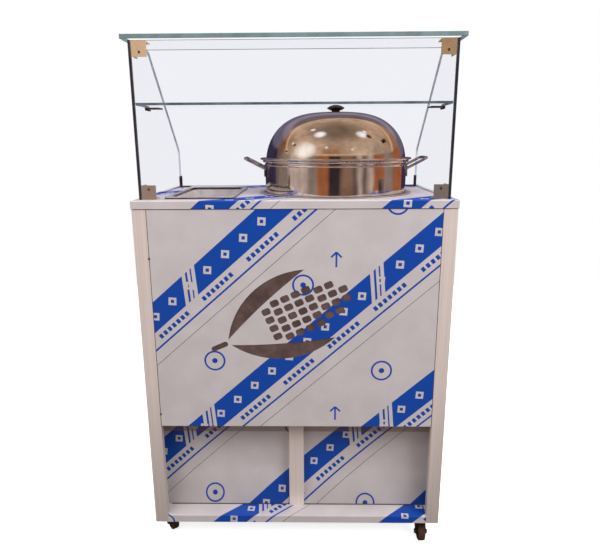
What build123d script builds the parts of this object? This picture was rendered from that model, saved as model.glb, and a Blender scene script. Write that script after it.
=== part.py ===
from build123d import *
import os
from math import asin, cos, degrees, radians, sin, sqrt

# A sweet corn stand: a sheet steel cabinet on swivel casters, with a counter that holds
# a steam pot and a gastronorm pan under a glass guard.
# Millimetres. X to the viewer's right, Y from the buyer's side to the seller's side, Z up.
# The origin is on the floor, under the middle of the counter.

# Cabinet
WIDTH = 800.0
DEPTH = 520.0
COUNTER_HEIGHT = 980.0
SHEET = 1.5
APRON = 20.0
BEND = 3.0
POST = 35.0
POST_RETURN = 18.0
TOP_FLANGE = 20.0
TRAY_LIP = 22.0
FASCIA_BOTTOM = 374.0
FASCIA_RETURN = 16.0
NICHE_RECESS = 44.0
NICHE_POST_WIDTH = 42.0
COVE_HEIGHT = 203.0
COVE_RUN = 30.0
INNER_DROP = 220.0
SHELF_LEVEL = 500.0
SHELF_FLANGE = 25.0
SHELF_DOOR_ROOM = 22.0
NICHE_POST_PROUD = 5.0

# Stencil of an ear of corn, cut through the fascia
STENCIL_LEVEL = 690.0
STENCIL_TILT = 24.0
EAR_LENGTH = 300.0
EAR_WIDTH = 130.0
KERNEL_LENGTH = 23.0
KERNEL_WIDTH = 18.0
KERNEL_BRIDGE = 6.0
KERNEL_RADIUS = 6.0
EAR_BARE = 65.0
HUSK_FOOT = 185.0
HUSK_GAP = 8.0
HUSK_WAIST = 70.0
HUSK_INNER = 55.0
HUSK_OUTER = 100.0
HUSK_TIP_ALONG = 70.0
HUSK_TIP_ACROSS = 98.0
STEM_LENGTH = 46.0
STEM_WIDTH = 14.0
BACKING_WIDTH = 500.0
BACKING_HEIGHT = 330.0
BACKING_THICKNESS = 3.0

# Casters
CASTER_HEIGHT = 75.0
CASTER_INSET_X = 43.0
CASTER_INSET_Y = 54.0
CASTER_TRAIL = 22.0
CASTER_TURNS = {"front_left": 125, "front_right": -90, "rear_left": -60, "rear_right": -120}
WHEEL_DIAMETER = 50.0
WHEEL_WIDTH = 20.0
WHEEL_TREAD_RADIUS = 4.0
WHEEL_DISH = 3.0
WHEEL_RIM = 6.0
HUB_RADIUS = 9.0
AXLE_RADIUS = 4.0
AXLE_HEAD_RADIUS = 6.5
AXLE_HEAD = 4.0
CHEEK = 2.5
CHEEK_GAP = 1.5
CHEEK_BOSS = 9.0
CROWN_RADIUS = 21.0
CROWN_THICKNESS = 4.0
CROWN_TOP = 62.0
RACE_RADIUS = 20.0
KINGPIN_RADIUS = 5.0
KINGPIN_HEAD_RADIUS = 9.0
KINGPIN_HEAD = 3.5
PLATE_LENGTH = 64.0
PLATE_WIDTH = 50.0
PLATE_THICKNESS = 3.0
PLATE_BOLT_X = 17.0
PLATE_BOLT_Y = 24.0
BOLT_RADIUS = 3.0
BOLT_HEAD_RADIUS = 5.5
BOLT_HEAD = 4.0
BOLT_LENGTH = 10.0
CHANNEL_WIDTH = 50.0
CHANNEL_END_ROOM = 3.0

# Glass guard
GLASS = 6.0
GUARD_HEIGHT = 368.0
GUARD_SETBACK = 26.0
GUARD_INSET = 16.0
ROOF_THICKNESS = 10.0
ROOF_CHAMFER = 0.8
ROOF_OVERHANG = 12.0
ROOF_FRONT_OVERHANG = 20.0
ROOF_DEPTH = 156.0
PANE_BASE_DEPTH = 430.0
PANE_REAR_HEIGHT = 112.0
PANE_TOP_DEPTH = 150.0
PANE_CORNER = 36.0
SHELF_GLASS_LEVEL = 224.0
SHELF_GLASS_DEPTH = 115.0
CLAMP = 35.0
CLAMP_PLATE = 3.0
CLAMP_SCREW_RADIUS = 3.0
CLAMP_SCREW_EDGE = 10.0
REAR_CLAMP_DEPTH = 30.0
SHELF_CLIP_LENGTH = 40.0

# Pot, lid and heater
POT_SIDE_ROOM = 11.0
POT_FRONT_ROOM = 5.0
POT_RADIUS = 198.0
POT_WALL = 1.5
POT_RIM_LEVEL = 91.0
POT_DEPTH = 200.0
POT_CORNER = 18.0
RIM_FLARE = 7.0
RIM_BEAD = 3.5
WALL_BEAD = 2.5
WALL_BEAD_DROP = 14.0
COLLAR_FLANGE = 215.0
COLLAR_GAP = 2.0
COLLAR_LIP = 3.0
HANDLE_ROD = 4.0
HANDLE_REACH = 54.0
HANDLE_SPAN = 80.0
HANDLE_RISE = 34.0
HANDLE_DROP = 30.0
HANDLE_BEND = 12.0
HANDLE_TURN = 2.0
HANDLE_PLATE = 4.0
HANDLE_PLATE_HEIGHT = 28.0
HANDLE_PLATE_EDGE = 12.0
LID_RADIUS = 194.0
LID_HEIGHT = 127.0
LID_WALL = 1.2
LID_FULLNESS = 2.7
LID_STEPS = 6
LID_FLANGE_RADIUS = 209.0
LID_FLANGE = 2.0
LID_BEAD = 2.5
LID_LIP_RADIUS = 189.0
LID_LIP = 3.0
LID_SCREW_SEAT = 0.1
KNOB_RADIUS = 25.0
KNOB_HEIGHT = 20.0
KNOB_NECK_RADIUS = 11.0
KNOB_NECK = 2.5
KNOB_EDGE = 1.0
HEATER_RADIUS = 150.0
HEATER_THICKNESS = 15.0
HEATER_GROOVES = 4
HEATER_GROOVE = 3.0
HEATER_TRAY = 376.0
HEATER_TRAY_WALL = 12.0
HANGER_STRAP = 24.0
HANGER_PLATE = 2.0
HANGER_FOOT = 25.0
HANGER_SPACING = 220.0

# Gastronorm pan
PAN_SIDE_ROOM = 50.0
PAN_FRONT = 44.0
PAN_WIDTH = 176.0
PAN_LENGTH = 325.0
PAN_DEPTH = 100.0
PAN_WALL = 1.2
PAN_RIM = 12.0
PAN_RIM_RISE = 5.0
PAN_CORNER = 24.0
PAN_TAPER = 3.0
PAN_CUTOUT_GAP = 3.0

# Seller's side
CONTROL_RECESS = 22.0
CONTROL_HEIGHT = 137.0
CONTROL_RISE = 65.0
THERMOSTAT_X = -200.0
THERMOSTAT_SIZE = 36.0
THERMOSTAT_DEPTH = 30.0
SPINDLE_RADIUS = 3.0
KNOB_DIAL_RADIUS = 20.0
KNOB_DIAL_HEIGHT = 14.0
KNOB_DIAL_GAP = 1.0
KNOB_GRIP_WIDTH = 8.0
KNOB_GRIP_INSET = 2.0
LAMP_X = -130.0
LAMP_RADIUS = 6.0
LAMP_BEZEL = 9.0
SWITCH_X = -75.0
SWITCH_WIDTH = 22.0
SWITCH_HEIGHT = 30.0
SWITCH_BEZEL = 3.0
SWITCH_DEPTH = 18.0
ROCKER_RADIUS = 15.0
ROCKER_PROUD = 4.0
ROCKER_TILT = 8.0
ROCKER_PIN_RADIUS = 1.5
ROCKER_PIN_REACH = 2.0
INLET_X = 250.0
INLET_WIDTH = 28.0
INLET_HEIGHT = 22.0
INLET_DEPTH = 20.0
INLET_WALL = 2.5
INLET_PIN = 2.0
DOOR_THICKNESS = 18.0
DOOR_EDGE_GAP = 4.0
DOOR_END_GAP = 2.0
DOOR_FINGER_GAP = 24.0
HINGE_INSET = 5.0
HINGE_PIN_RADIUS = 2.5
HINGE_PIN_LENGTH = 9.0
FASCIA_SCREW_RADIUS = 2.0
FASCIA_SCREW_HEAD = 4.0

# Fits
RUNNING = 0.05
BOLT_ROOM = 0.3
AIR = 0.4

# Share of an edge's thickness that its rounding takes
ROUNDING = 0.45

# Levels and planes that the pieces share
UNDERSIDE = COUNTER_HEIGHT - SHEET
BODY_X = WIDTH / 2 - SHEET
BODY_Y = DEPTH / 2 - SHEET
WALL_X = BODY_X - SHEET
POST_X = BODY_X - POST
FLANGE_UNDER = UNDERSIDE - SHEET
TRAY_FLOOR = CASTER_HEIGHT + TRAY_LIP
POST_INSIDE_Y = BODY_Y - SHEET - POST_RETURN
NICHE_Y = -BODY_Y + NICHE_RECESS
INNER_FLOOR_Y = NICHE_Y + NICHE_POST_PROUD
INNER_Y = INNER_FLOOR_Y + COVE_RUN
INNER_TOP = COUNTER_HEIGHT - INNER_DROP
CONTROL_Y = BODY_Y - CONTROL_RECESS
CONTROL_BOTTOM = FLANGE_UNDER - CONTROL_HEIGHT
CONTROL_LEVEL = CONTROL_BOTTOM + CONTROL_RISE
PANE_FRONT = -DEPTH / 2 + GUARD_SETBACK
PANE_INSIDE = PANE_FRONT + GLASS
PANE_X = WIDTH / 2 - GUARD_INSET
PANE_INSIDE_X = PANE_X - GLASS
ROOF_UNDER = COUNTER_HEIGHT + GUARD_HEIGHT
HANDLE_TIP = POT_RADIUS + HANDLE_REACH
POT_X = PANE_INSIDE_X - POT_SIDE_ROOM - HANDLE_ROD - HANDLE_TIP
POT_Y = PANE_INSIDE + POT_FRONT_ROOM + COLLAR_FLANGE
PAN_X = -PANE_INSIDE_X + PAN_SIDE_ROOM + PAN_WIDTH / 2
POT_RIM = COUNTER_HEIGHT + POT_RIM_LEVEL
POT_BOTTOM = POT_RIM - POT_DEPTH
TRAY_UNDER = POT_BOTTOM - HEATER_THICKNESS - SHEET
COLLAR_RADIUS = POT_RADIUS + COLLAR_GAP
CASTER_X = WIDTH / 2 - CASTER_INSET_X
CASTER_Y = DEPTH / 2 - CASTER_INSET_Y
AXLE_LEVEL = WHEEL_DIAMETER / 2
PLATE_UNDER = CASTER_HEIGHT - PLATE_THICKNESS
HINGE_X = POST_X - DOOR_EDGE_GAP - HINGE_INSET
HINGE_Y = BODY_Y - HINGE_INSET
SHELF_UNDER = COUNTER_HEIGHT + SHELF_GLASS_LEVEL
FASCIA_SCREW_Y = -BODY_Y + SHEET + POST_RETURN / 2


def slab(x0, x1, y0, y1, z0, z1):
    middle = Pos((x0 + x1) / 2, (y0 + y1) / 2, (z0 + z1) / 2)
    return middle * Box(x1 - x0, y1 - y0, z1 - z0)


def disc(radius, z0, z1):
    return Pos(0, 0, (z0 + z1) / 2) * Cylinder(radius, z1 - z0)


def along_y(radius, x, z, y0, y1):
    return Pos(x, (y0 + y1) / 2, z) * Rot(90, 0, 0) * Cylinder(radius, y1 - y0)


def along_x(radius, y, z, x0, x1):
    return Pos((x0 + x1) / 2, y, z) * Rot(0, 90, 0) * Cylinder(radius, x1 - x0)


def mirrored(shape):
    return mirror(shape, about=Plane.YZ)


def pair(shape):
    return Compound(children=[shape, mirrored(shape)])


def group(shapes):
    return Compound(children=list(shapes))


# Cabinet


def side_panel():
    outer = Pos(BODY_X - POST / 2, 0) * Rectangle(POST, 2 * BODY_Y)
    outer = fillet(outer.vertices().sort_by(Axis.X)[-2:], BEND)
    inner = Pos(WALL_X - POST / 2, 0) * Rectangle(POST, 2 * (BODY_Y - SHEET))
    inner = fillet(inner.vertices().sort_by(Axis.X)[-2:], BEND - SHEET)
    profile = outer - inner
    for side in (-1, 1):
        middle = side * (BODY_Y - SHEET - POST_RETURN / 2)
        profile += Pos(POST_X + SHEET / 2, middle) * Rectangle(SHEET, POST_RETURN)
    wall = Pos(0, 0, CASTER_HEIGHT) * extrude(profile, UNDERSIDE - CASTER_HEIGHT)
    flange_y = BODY_Y - SHEET
    wall += slab(BODY_X - TOP_FLANGE, WALL_X, -flange_y, flange_y, FLANGE_UNDER, UNDERSIDE)
    holes = [fascia_screw_shank(z, POST_X, POST_X + SHEET) for z in fascia_screw_levels()]
    return wall - holes


def base_tray():
    floor_under = TRAY_FLOOR - SHEET
    floor = slab(-WALL_X, WALL_X, -POST_INSIDE_Y, POST_INSIDE_Y, floor_under, TRAY_FLOOR)
    tongue = slab(-POST_X, POST_X, -BODY_Y, BODY_Y, CASTER_HEIGHT, TRAY_FLOOR)
    tongue = fillet(tongue.faces().sort_by(Axis.Z)[-1].edges().filter_by(Axis.X), BEND - SHEET / 2)
    hollow_y = BODY_Y - SHEET
    tongue -= slab(-POST_X, POST_X, -hollow_y, hollow_y, CASTER_HEIGHT, floor_under)
    return floor + tongue


def base_channel():
    half = CHANNEL_WIDTH / 2
    end = POST_INSIDE_Y - CHANNEL_END_ROOM
    top = TRAY_FLOOR - SHEET
    channel = slab(CASTER_X - half, CASTER_X + half, -end, end, CASTER_HEIGHT, top)
    channel -= slab(CASTER_X - half + SHEET, CASTER_X + half - SHEET, -end, end, CASTER_HEIGHT + SHEET, top)
    for y in (-CASTER_Y, CASTER_Y):
        for x, dy in plate_bolt_places():
            hole = disc(BOLT_RADIUS, CASTER_HEIGHT, CASTER_HEIGHT + SHEET)
            channel -= Pos(CASTER_X + x, y + dy, 0) * hole
    return channel


def cove_face(thickness, top):
    # Section of a sheet that drops straight and then sweeps forward to the tray's floor.
    radius = (COVE_HEIGHT**2 + COVE_RUN**2) / (2 * COVE_RUN)
    bend_level = TRAY_FLOOR + COVE_HEIGHT
    centre = (INNER_Y - radius, bend_level)
    front_turn = -degrees(asin(COVE_HEIGHT / radius))
    back_turn = -degrees(asin(COVE_HEIGHT / (radius + thickness)))
    front = CenterArc(centre, radius, 0, front_turn)
    back = CenterArc(centre, radius + thickness, 0, back_turn)
    edges = [
        Line((INNER_Y, top), (INNER_Y, bend_level)),
        front,
        Line(front @ 1, back @ 1),
        back,
        Line((INNER_Y + thickness, bend_level), (INNER_Y + thickness, top)),
        Line((INNER_Y + thickness, top), (INNER_Y, top)),
    ]
    return make_face(edges)


def inner_front_panel():
    sheet = extrude(Plane.YZ * cove_face(SHEET, INNER_TOP), WALL_X, both=True)
    ledge_front = -BODY_Y + SHEET + BACKING_THICKNESS
    half = POST_X - SHEET
    return sheet + slab(-half, half, ledge_front, INNER_Y + SHEET, INNER_TOP - SHEET, INNER_TOP)


def niche_post():
    half = NICHE_POST_WIDTH / 2
    top = INNER_TOP - SHEET
    channel = slab(-half, half, NICHE_Y, INNER_Y, TRAY_FLOOR, top)
    upright = channel.edges().filter_by(Axis.Z).sort_by(Axis.Y)[:2]
    channel = fillet(upright, BEND)
    channel -= slab(-half + SHEET, half - SHEET, NICHE_Y + SHEET, INNER_Y, TRAY_FLOOR, top)
    behind = extrude(Plane.YZ * cove_face(2 * COVE_RUN, INNER_TOP), WALL_X, both=True)
    return channel - behind


def husk_leaf():
    # A leaf from the foot of the ear to a tip beside it, pointed at both ends.
    foot = (-HUSK_FOOT, HUSK_GAP)
    tip = (HUSK_TIP_ALONG, HUSK_TIP_ACROSS)
    outer = ThreePointArc(foot, (-HUSK_WAIST, HUSK_OUTER), tip)
    inner = ThreePointArc(tip, (-HUSK_WAIST, HUSK_INNER), foot)
    return make_face([outer, inner])


def stencil():
    half_length = EAR_LENGTH / 2
    half_width = EAR_WIDTH / 2
    pitch_u = KERNEL_LENGTH + KERNEL_BRIDGE
    pitch_v = KERNEL_WIDTH + KERNEL_BRIDGE
    columns = 1 + int((EAR_LENGTH - EAR_BARE - KERNEL_LENGTH) / pitch_u)
    cells = []
    for column in range(columns):
        u = half_length - KERNEL_LENGTH / 2 - column * pitch_u
        room = half_width * sqrt(1 - (u / (half_length + pitch_u / 2)) ** 2)
        rows = max(1, int(2 * room / pitch_v))
        for row in range(rows):
            v = (row - (rows - 1) / 2) * pitch_v
            cells.append(Pos(u, v) * RectangleRounded(KERNEL_LENGTH, KERNEL_WIDTH, KERNEL_RADIUS))
    cells.append(husk_leaf())
    cells.append(mirror(husk_leaf(), about=Plane.XZ))
    stem_x = -HUSK_FOOT - KERNEL_BRIDGE - STEM_LENGTH / 2
    cells.append(Pos(stem_x, 0) * RectangleRounded(STEM_LENGTH, STEM_WIDTH, STEM_WIDTH * ROUNDING))
    return [Rot(0, 0, STENCIL_TILT) * cell for cell in cells]


def front_fascia():
    front = -BODY_Y
    fascia = slab(-POST_X, POST_X, front, front + FASCIA_RETURN, FASCIA_BOTTOM, UNDERSIDE)
    fascia = fillet(fascia.faces().sort_by(Axis.Y)[0].edges(), BEND - SHEET / 2)
    inner_x = POST_X - SHEET
    rear = front + FASCIA_RETURN
    fascia -= slab(-inner_x, inner_x, front + SHEET, rear, FASCIA_BOTTOM + SHEET, FLANGE_UNDER)
    cutter_plane = Plane(origin=(0, front, STENCIL_LEVEL), x_dir=(1, 0, 0), z_dir=(0, -1, 0))
    cutters = [extrude(cutter_plane * cell, SHEET, both=True) for cell in stencil()]
    for z in fascia_screw_levels():
        hole = fascia_screw_shank(z, POST_X - SHEET, POST_X)
        cutters += [hole, mirrored(hole)]
    return fascia - cutters


def fascia_backing():
    front = -BODY_Y + SHEET
    half = BACKING_WIDTH / 2
    low = STENCIL_LEVEL - BACKING_HEIGHT / 2
    return slab(-half, half, front, front + BACKING_THICKNESS, low, low + BACKING_HEIGHT)


def fascia_screw_levels():
    inset = 2 * POST
    return (FASCIA_BOTTOM + inset, UNDERSIDE - inset)


def fascia_screw_shank(z, x0, x1):
    return along_x(FASCIA_SCREW_RADIUS, FASCIA_SCREW_Y, z, x0, x1)


def fascia_screws():
    screws = []
    head_x = POST_X - SHEET
    for z in fascia_screw_levels():
        shank = fascia_screw_shank(z, head_x, POST_X + SHEET)
        head = along_x(FASCIA_SCREW_HEAD, FASCIA_SCREW_Y, z, head_x - FASCIA_SCREW_HEAD / 2, head_x)
        screws.append(shank + head)
        screws.append(mirrored(shank + head))
    return group(screws)


def pan_cutout(grow):
    middle = pan_centre_y()
    size_x = PAN_WIDTH - 2 * PAN_RIM + 2 * grow
    size_y = PAN_LENGTH - 2 * PAN_RIM + 2 * grow
    return Pos(PAN_X, middle) * RectangleRounded(size_x, size_y, PAN_CORNER + grow)


def pan_centre_y():
    return -DEPTH / 2 + PAN_FRONT + PAN_LENGTH / 2


def countertop():
    top = slab(-WIDTH / 2, WIDTH / 2, -DEPTH / 2, DEPTH / 2, COUNTER_HEIGHT - APRON, COUNTER_HEIGHT)
    top = fillet(top.edges().filter_by(Axis.Z), BEND)
    top = fillet(top.faces().sort_by(Axis.Z)[-1].edges(), BEND - SHEET / 2)
    top -= slab(-BODY_X, BODY_X, -BODY_Y, BODY_Y, COUNTER_HEIGHT - APRON, UNDERSIDE)
    top -= Pos(POT_X, POT_Y, 0) * disc(COLLAR_RADIUS + POT_WALL, UNDERSIDE, COUNTER_HEIGHT)
    opening = Pos(0, 0, UNDERSIDE) * extrude(pan_cutout(PAN_CUTOUT_GAP), SHEET)
    return top - opening


def mid_shelf():
    front = INNER_Y + SHEET
    rear = BODY_Y - DOOR_THICKNESS - SHELF_DOOR_ROOM
    shelf = slab(-WALL_X, WALL_X, front, rear, SHELF_LEVEL - SHELF_FLANGE, SHELF_LEVEL)
    rear_edge = shelf.faces().sort_by(Axis.Z)[-1].edges().sort_by(Axis.Y)[-1]
    shelf = fillet(rear_edge, BEND - SHEET / 2)
    inner_x = WALL_X - SHEET
    low = SHELF_LEVEL - SHELF_FLANGE
    return shelf - slab(-inner_x, inner_x, front + SHEET, rear - SHEET, low, SHELF_LEVEL - SHEET)


# Pot, lid and heater


def at_pot(shape):
    return Pos(POT_X, POT_Y, 0) * shape


def pot_collar():
    outer = COLLAR_RADIUS + POT_WALL
    flange = disc(COLLAR_FLANGE, COUNTER_HEIGHT, COUNTER_HEIGHT + POT_WALL)
    flange = fillet(flange.faces().sort_by(Axis.Z)[-1].edges(), POT_WALL * ROUNDING)
    neck_low = UNDERSIDE - APRON / 2
    lip_top = COUNTER_HEIGHT + COLLAR_LIP
    neck = disc(outer, neck_low, lip_top)
    neck = fillet(neck.faces().sort_by(Axis.Z)[-1].edges(), POT_WALL * ROUNDING)
    return at_pot(flange + neck - disc(COLLAR_RADIUS, neck_low, lip_top))


def pot_body():
    rim_centre = POT_RIM - RIM_BEAD
    body = disc(POT_RADIUS, POT_BOTTOM, rim_centre)
    body = fillet(body.faces().sort_by(Axis.Z)[0].edges(), POT_CORNER)
    hollow = disc(POT_RADIUS - POT_WALL, POT_BOTTOM + POT_WALL, POT_RIM)
    hollow = fillet(hollow.faces().sort_by(Axis.Z)[0].edges(), POT_CORNER - POT_WALL)
    rim = disc(POT_RADIUS + RIM_FLARE - RIM_BEAD, rim_centre - RIM_BEAD, POT_RIM)
    rim += Pos(0, 0, rim_centre) * Torus(POT_RADIUS + RIM_FLARE - RIM_BEAD, RIM_BEAD)
    bead = Pos(0, 0, POT_RIM - WALL_BEAD_DROP) * Torus(POT_RADIUS, WALL_BEAD)
    return at_pot(body + rim + bead - hollow)


def pot_handle(turn):
    # A bent rod on a plate that follows the pot's wall.
    root = POT_RADIUS - HANDLE_BEND
    low = POT_RIM - HANDLE_DROP
    half = HANDLE_SPAN / 2
    points = [
        (root, -half, low),
        (HANDLE_TIP, -half, low + HANDLE_RISE),
        (HANDLE_TIP, half, low + HANDLE_RISE),
        (root, half, low),
    ]
    path = FilletPolyline(*points, radius=HANDLE_BEND)
    rod = sweep(Plane(origin=path @ 0, z_dir=path % 0) * Circle(HANDLE_ROD), path=path)
    reach = half + HANDLE_PLATE_EDGE
    plate_low = low + HANDLE_PLATE_EDGE - HANDLE_PLATE_HEIGHT
    plate_top = low + HANDLE_PLATE_EDGE
    plate = disc(POT_RADIUS + HANDLE_PLATE, plate_low, plate_top)
    plate &= slab(0, HANDLE_TIP, -reach, reach, plate_low, plate_top)
    handle = rod + plate - disc(POT_RADIUS, POT_BOTTOM, POT_RIM)
    return at_pot(Rot(0, 0, turn) * handle)


def dome_curve(radius, height):
    # A full-shouldered dome, as a superellipse from the wall to the crown.
    power = 2 / LID_FULLNESS
    points = []
    for step in range(LID_STEPS + 1):
        angle = radians(90 * step / LID_STEPS)
        points.append((radius * cos(angle) ** power, height * sin(angle) ** power))
    points[-1] = (0, height)
    return Spline(*points, tangents=[(0, 1), (-1, 0)])


def lid_dome():
    outer = dome_curve(LID_RADIUS, LID_HEIGHT)
    inner = dome_curve(LID_RADIUS - LID_WALL, LID_HEIGHT - LID_WALL)
    edges = [outer, Line(outer @ 1, inner @ 1), inner, Line(inner @ 0, outer @ 0)]
    dome = revolve(Plane.XZ * make_face(edges), Axis.Z)
    flange = disc(LID_FLANGE_RADIUS, 0, LID_FLANGE) - disc(LID_LIP_RADIUS, 0, LID_FLANGE)
    bead = Pos(0, 0, LID_BEAD) * Torus(LID_FLANGE_RADIUS, LID_BEAD)
    lip = disc(LID_LIP_RADIUS + LID_WALL, -LID_LIP, LID_FLANGE) - disc(LID_LIP_RADIUS, -LID_LIP, LID_FLANGE)
    hole = disc(BOLT_RADIUS, LID_HEIGHT - 2 * LID_WALL, LID_HEIGHT)
    return at_pot(Pos(0, 0, POT_RIM) * (dome + flange + bead + lip - hole))


def lid_knob():
    # A lens shaped cap on a short neck.
    base = LID_HEIGHT
    half = (KNOB_HEIGHT - KNOB_NECK) / 2
    crown = (KNOB_RADIUS**2 + half**2) / (2 * half)
    neck = disc(KNOB_NECK_RADIUS, base, base + KNOB_NECK + half)
    upper = Pos(0, 0, base + KNOB_HEIGHT - crown) * Sphere(crown)
    lower = Pos(0, 0, base + KNOB_NECK + crown) * Sphere(crown)
    cap = upper & lower
    rim = cap.edges().filter_by(GeomType.CIRCLE).sort_by(SortBy.LENGTH)[-1]
    cap = fillet(rim, KNOB_EDGE)
    hole = disc(BOLT_RADIUS, base, base + KNOB_NECK + BOLT_HEAD)
    return at_pot(Pos(0, 0, POT_RIM) * (neck + cap - hole))


def lid_knob_screw():
    head_top = LID_HEIGHT - LID_WALL - LID_SCREW_SEAT
    head = disc(BOLT_HEAD_RADIUS, head_top - BOLT_HEAD, head_top)
    shank = disc(BOLT_RADIUS, head_top, LID_HEIGHT + KNOB_NECK + BOLT_HEAD)
    return at_pot(Pos(0, 0, POT_RIM) * (head + shank))


def heater_plate():
    low = POT_BOTTOM - HEATER_THICKNESS
    plate = disc(HEATER_RADIUS, low, POT_BOTTOM)
    pitch = HEATER_RADIUS / (HEATER_GROOVES + 1)
    for index in range(1, HEATER_GROOVES + 1):
        outer = index * pitch + HEATER_GROOVE / 2
        ring = disc(outer, POT_BOTTOM - HEATER_GROOVE, POT_BOTTOM)
        plate -= ring - disc(outer - HEATER_GROOVE, POT_BOTTOM - HEATER_GROOVE, POT_BOTTOM)
    return at_pot(plate)


def heater_tray():
    half = HEATER_TRAY / 2
    inner = half - SHEET
    top = TRAY_UNDER + HEATER_TRAY_WALL
    tray = slab(-half, half, -half, half, TRAY_UNDER, top)
    tray = fillet(tray.edges().filter_by(Axis.Z), 2 * BEND)
    hollow = slab(-inner, inner, -inner, inner, TRAY_UNDER + SHEET, top)
    hollow = fillet(hollow.edges().filter_by(Axis.Z), 2 * BEND - SHEET)
    return at_pot(tray - hollow)


def heater_hangers():
    half = HEATER_TRAY / 2
    outer = half + HANGER_PLATE
    foot = outer + HANGER_FOOT
    straps = []
    for side in (-1, 1):
        y0 = side * HANGER_SPACING / 2 - HANGER_STRAP / 2
        y1 = y0 + HANGER_STRAP
        low = TRAY_UNDER - HANGER_PLATE
        strap = slab(-outer, outer, y0, y1, low, UNDERSIDE) - slab(-half, half, y0, y1, TRAY_UNDER, UNDERSIDE)
        for x0, x1 in ((-foot, -outer), (outer, foot)):
            strap += slab(x0, x1, y0, y1, UNDERSIDE - HANGER_PLATE, UNDERSIDE)
        straps.append(at_pot(strap))
    return group(straps)


def gn_pan():
    top = COUNTER_HEIGHT + PAN_RIM_RISE
    middle = Pos(PAN_X, pan_centre_y())
    mouth = pan_cutout(0)
    inner_mouth = pan_cutout(-PAN_WALL)
    body = extrude(Pos(0, 0, top) * mouth, PAN_DEPTH, dir=(0, 0, -1), taper=PAN_TAPER)
    hollow = extrude(Pos(0, 0, top) * inner_mouth, PAN_DEPTH - PAN_WALL, dir=(0, 0, -1), taper=PAN_TAPER)
    rim_face = middle * RectangleRounded(PAN_WIDTH, PAN_LENGTH, PAN_CORNER / 2)
    rim = Pos(0, 0, COUNTER_HEIGHT) * extrude(rim_face, PAN_RIM_RISE)
    rim = fillet(rim.faces().sort_by(Axis.Z)[-1].edges(), PAN_RIM_RISE * ROUNDING)
    lip_x = PAN_WIDTH - 2 * PAN_WALL
    lip_y = PAN_LENGTH - 2 * PAN_WALL
    lip_face = middle * RectangleRounded(lip_x, lip_y, PAN_CORNER / 2 - PAN_WALL)
    under = Pos(0, 0, COUNTER_HEIGHT) * extrude(lip_face, PAN_RIM_RISE - PAN_WALL)
    return (rim - under) + body - hollow


# Glass guard


def roof_glass():
    half = PANE_X + ROOF_OVERHANG
    front = PANE_FRONT - ROOF_FRONT_OVERHANG
    roof = slab(-half, half, front, front + ROOF_DEPTH, ROOF_UNDER, ROOF_UNDER + ROOF_THICKNESS)
    return chamfer(roof.edges().filter_by(Axis.X), ROOF_CHAMFER)


def front_glass():
    return slab(-PANE_INSIDE_X, PANE_INSIDE_X, PANE_FRONT, PANE_INSIDE, COUNTER_HEIGHT, ROOF_UNDER)


def side_glass():
    rear = PANE_FRONT + PANE_BASE_DEPTH
    rear_top = PANE_FRONT + PANE_TOP_DEPTH
    outline = Polyline(
        (PANE_FRONT, COUNTER_HEIGHT),
        (rear, COUNTER_HEIGHT),
        (rear, COUNTER_HEIGHT + PANE_REAR_HEIGHT),
        (rear_top, ROOF_UNDER),
        (PANE_FRONT, ROOF_UNDER),
        close=True,
    )
    face = make_face(outline)
    bends = [v for v in face.vertices() if v.X > PANE_FRONT + GLASS and v.Y > COUNTER_HEIGHT + GLASS]
    face = fillet(bends, PANE_CORNER)
    return Pos(PANE_INSIDE_X, 0, 0) * extrude(Plane.YZ * face, GLASS)


def shelf_glass():
    half = PANE_INSIDE_X - AIR
    return slab(-half, half, PANE_INSIDE, PANE_INSIDE + SHELF_GLASS_DEPTH, SHELF_UNDER, SHELF_UNDER + GLASS)


def clamp_screw_hole(level):
    x = PANE_INSIDE_X - CLAMP / 2
    return along_y(CLAMP_SCREW_RADIUS, x, level, PANE_INSIDE, PANE_INSIDE + CLAMP_PLATE)


def clamp_screw_levels():
    low = COUNTER_HEIGHT + CLAMP - CLAMP_SCREW_EDGE
    high = ROOF_UNDER - CLAMP + CLAMP_SCREW_EDGE
    return low, high


def corner_clamp(seat, reach):
    # Three square plates that meet in the corner of two panes and the counter or the roof.
    x0 = PANE_INSIDE_X - CLAMP
    y1 = PANE_INSIDE + CLAMP
    z0, z1 = sorted((seat, seat + reach * CLAMP))
    front = slab(x0, PANE_INSIDE_X, PANE_INSIDE, PANE_INSIDE + CLAMP_PLATE, z0, z1)
    side = slab(PANE_INSIDE_X - CLAMP_PLATE, PANE_INSIDE_X, PANE_INSIDE, y1, z0, z1)
    z2, z3 = sorted((seat, seat + reach * CLAMP_PLATE))
    flat = slab(x0, PANE_INSIDE_X, PANE_INSIDE, y1, z2, z3)
    clamp = front + side + flat
    for level in clamp_screw_levels():
        clamp -= clamp_screw_hole(level)
    return clamp


def clamp_screws():
    screws = [clamp_screw_hole(level) for level in clamp_screw_levels()]
    return group(screws + [mirrored(screw) for screw in screws])


def rear_clamp():
    rear = PANE_FRONT + PANE_BASE_DEPTH
    front = rear - REAR_CLAMP_DEPTH
    top = COUNTER_HEIGHT + CLAMP
    wall = slab(PANE_INSIDE_X - CLAMP_PLATE, PANE_INSIDE_X, front, rear, COUNTER_HEIGHT, top)
    foot_top = COUNTER_HEIGHT + CLAMP_PLATE
    x0 = PANE_INSIDE_X - REAR_CLAMP_DEPTH
    return wall + slab(x0, PANE_INSIDE_X, front, rear, COUNTER_HEIGHT, foot_top)


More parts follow.
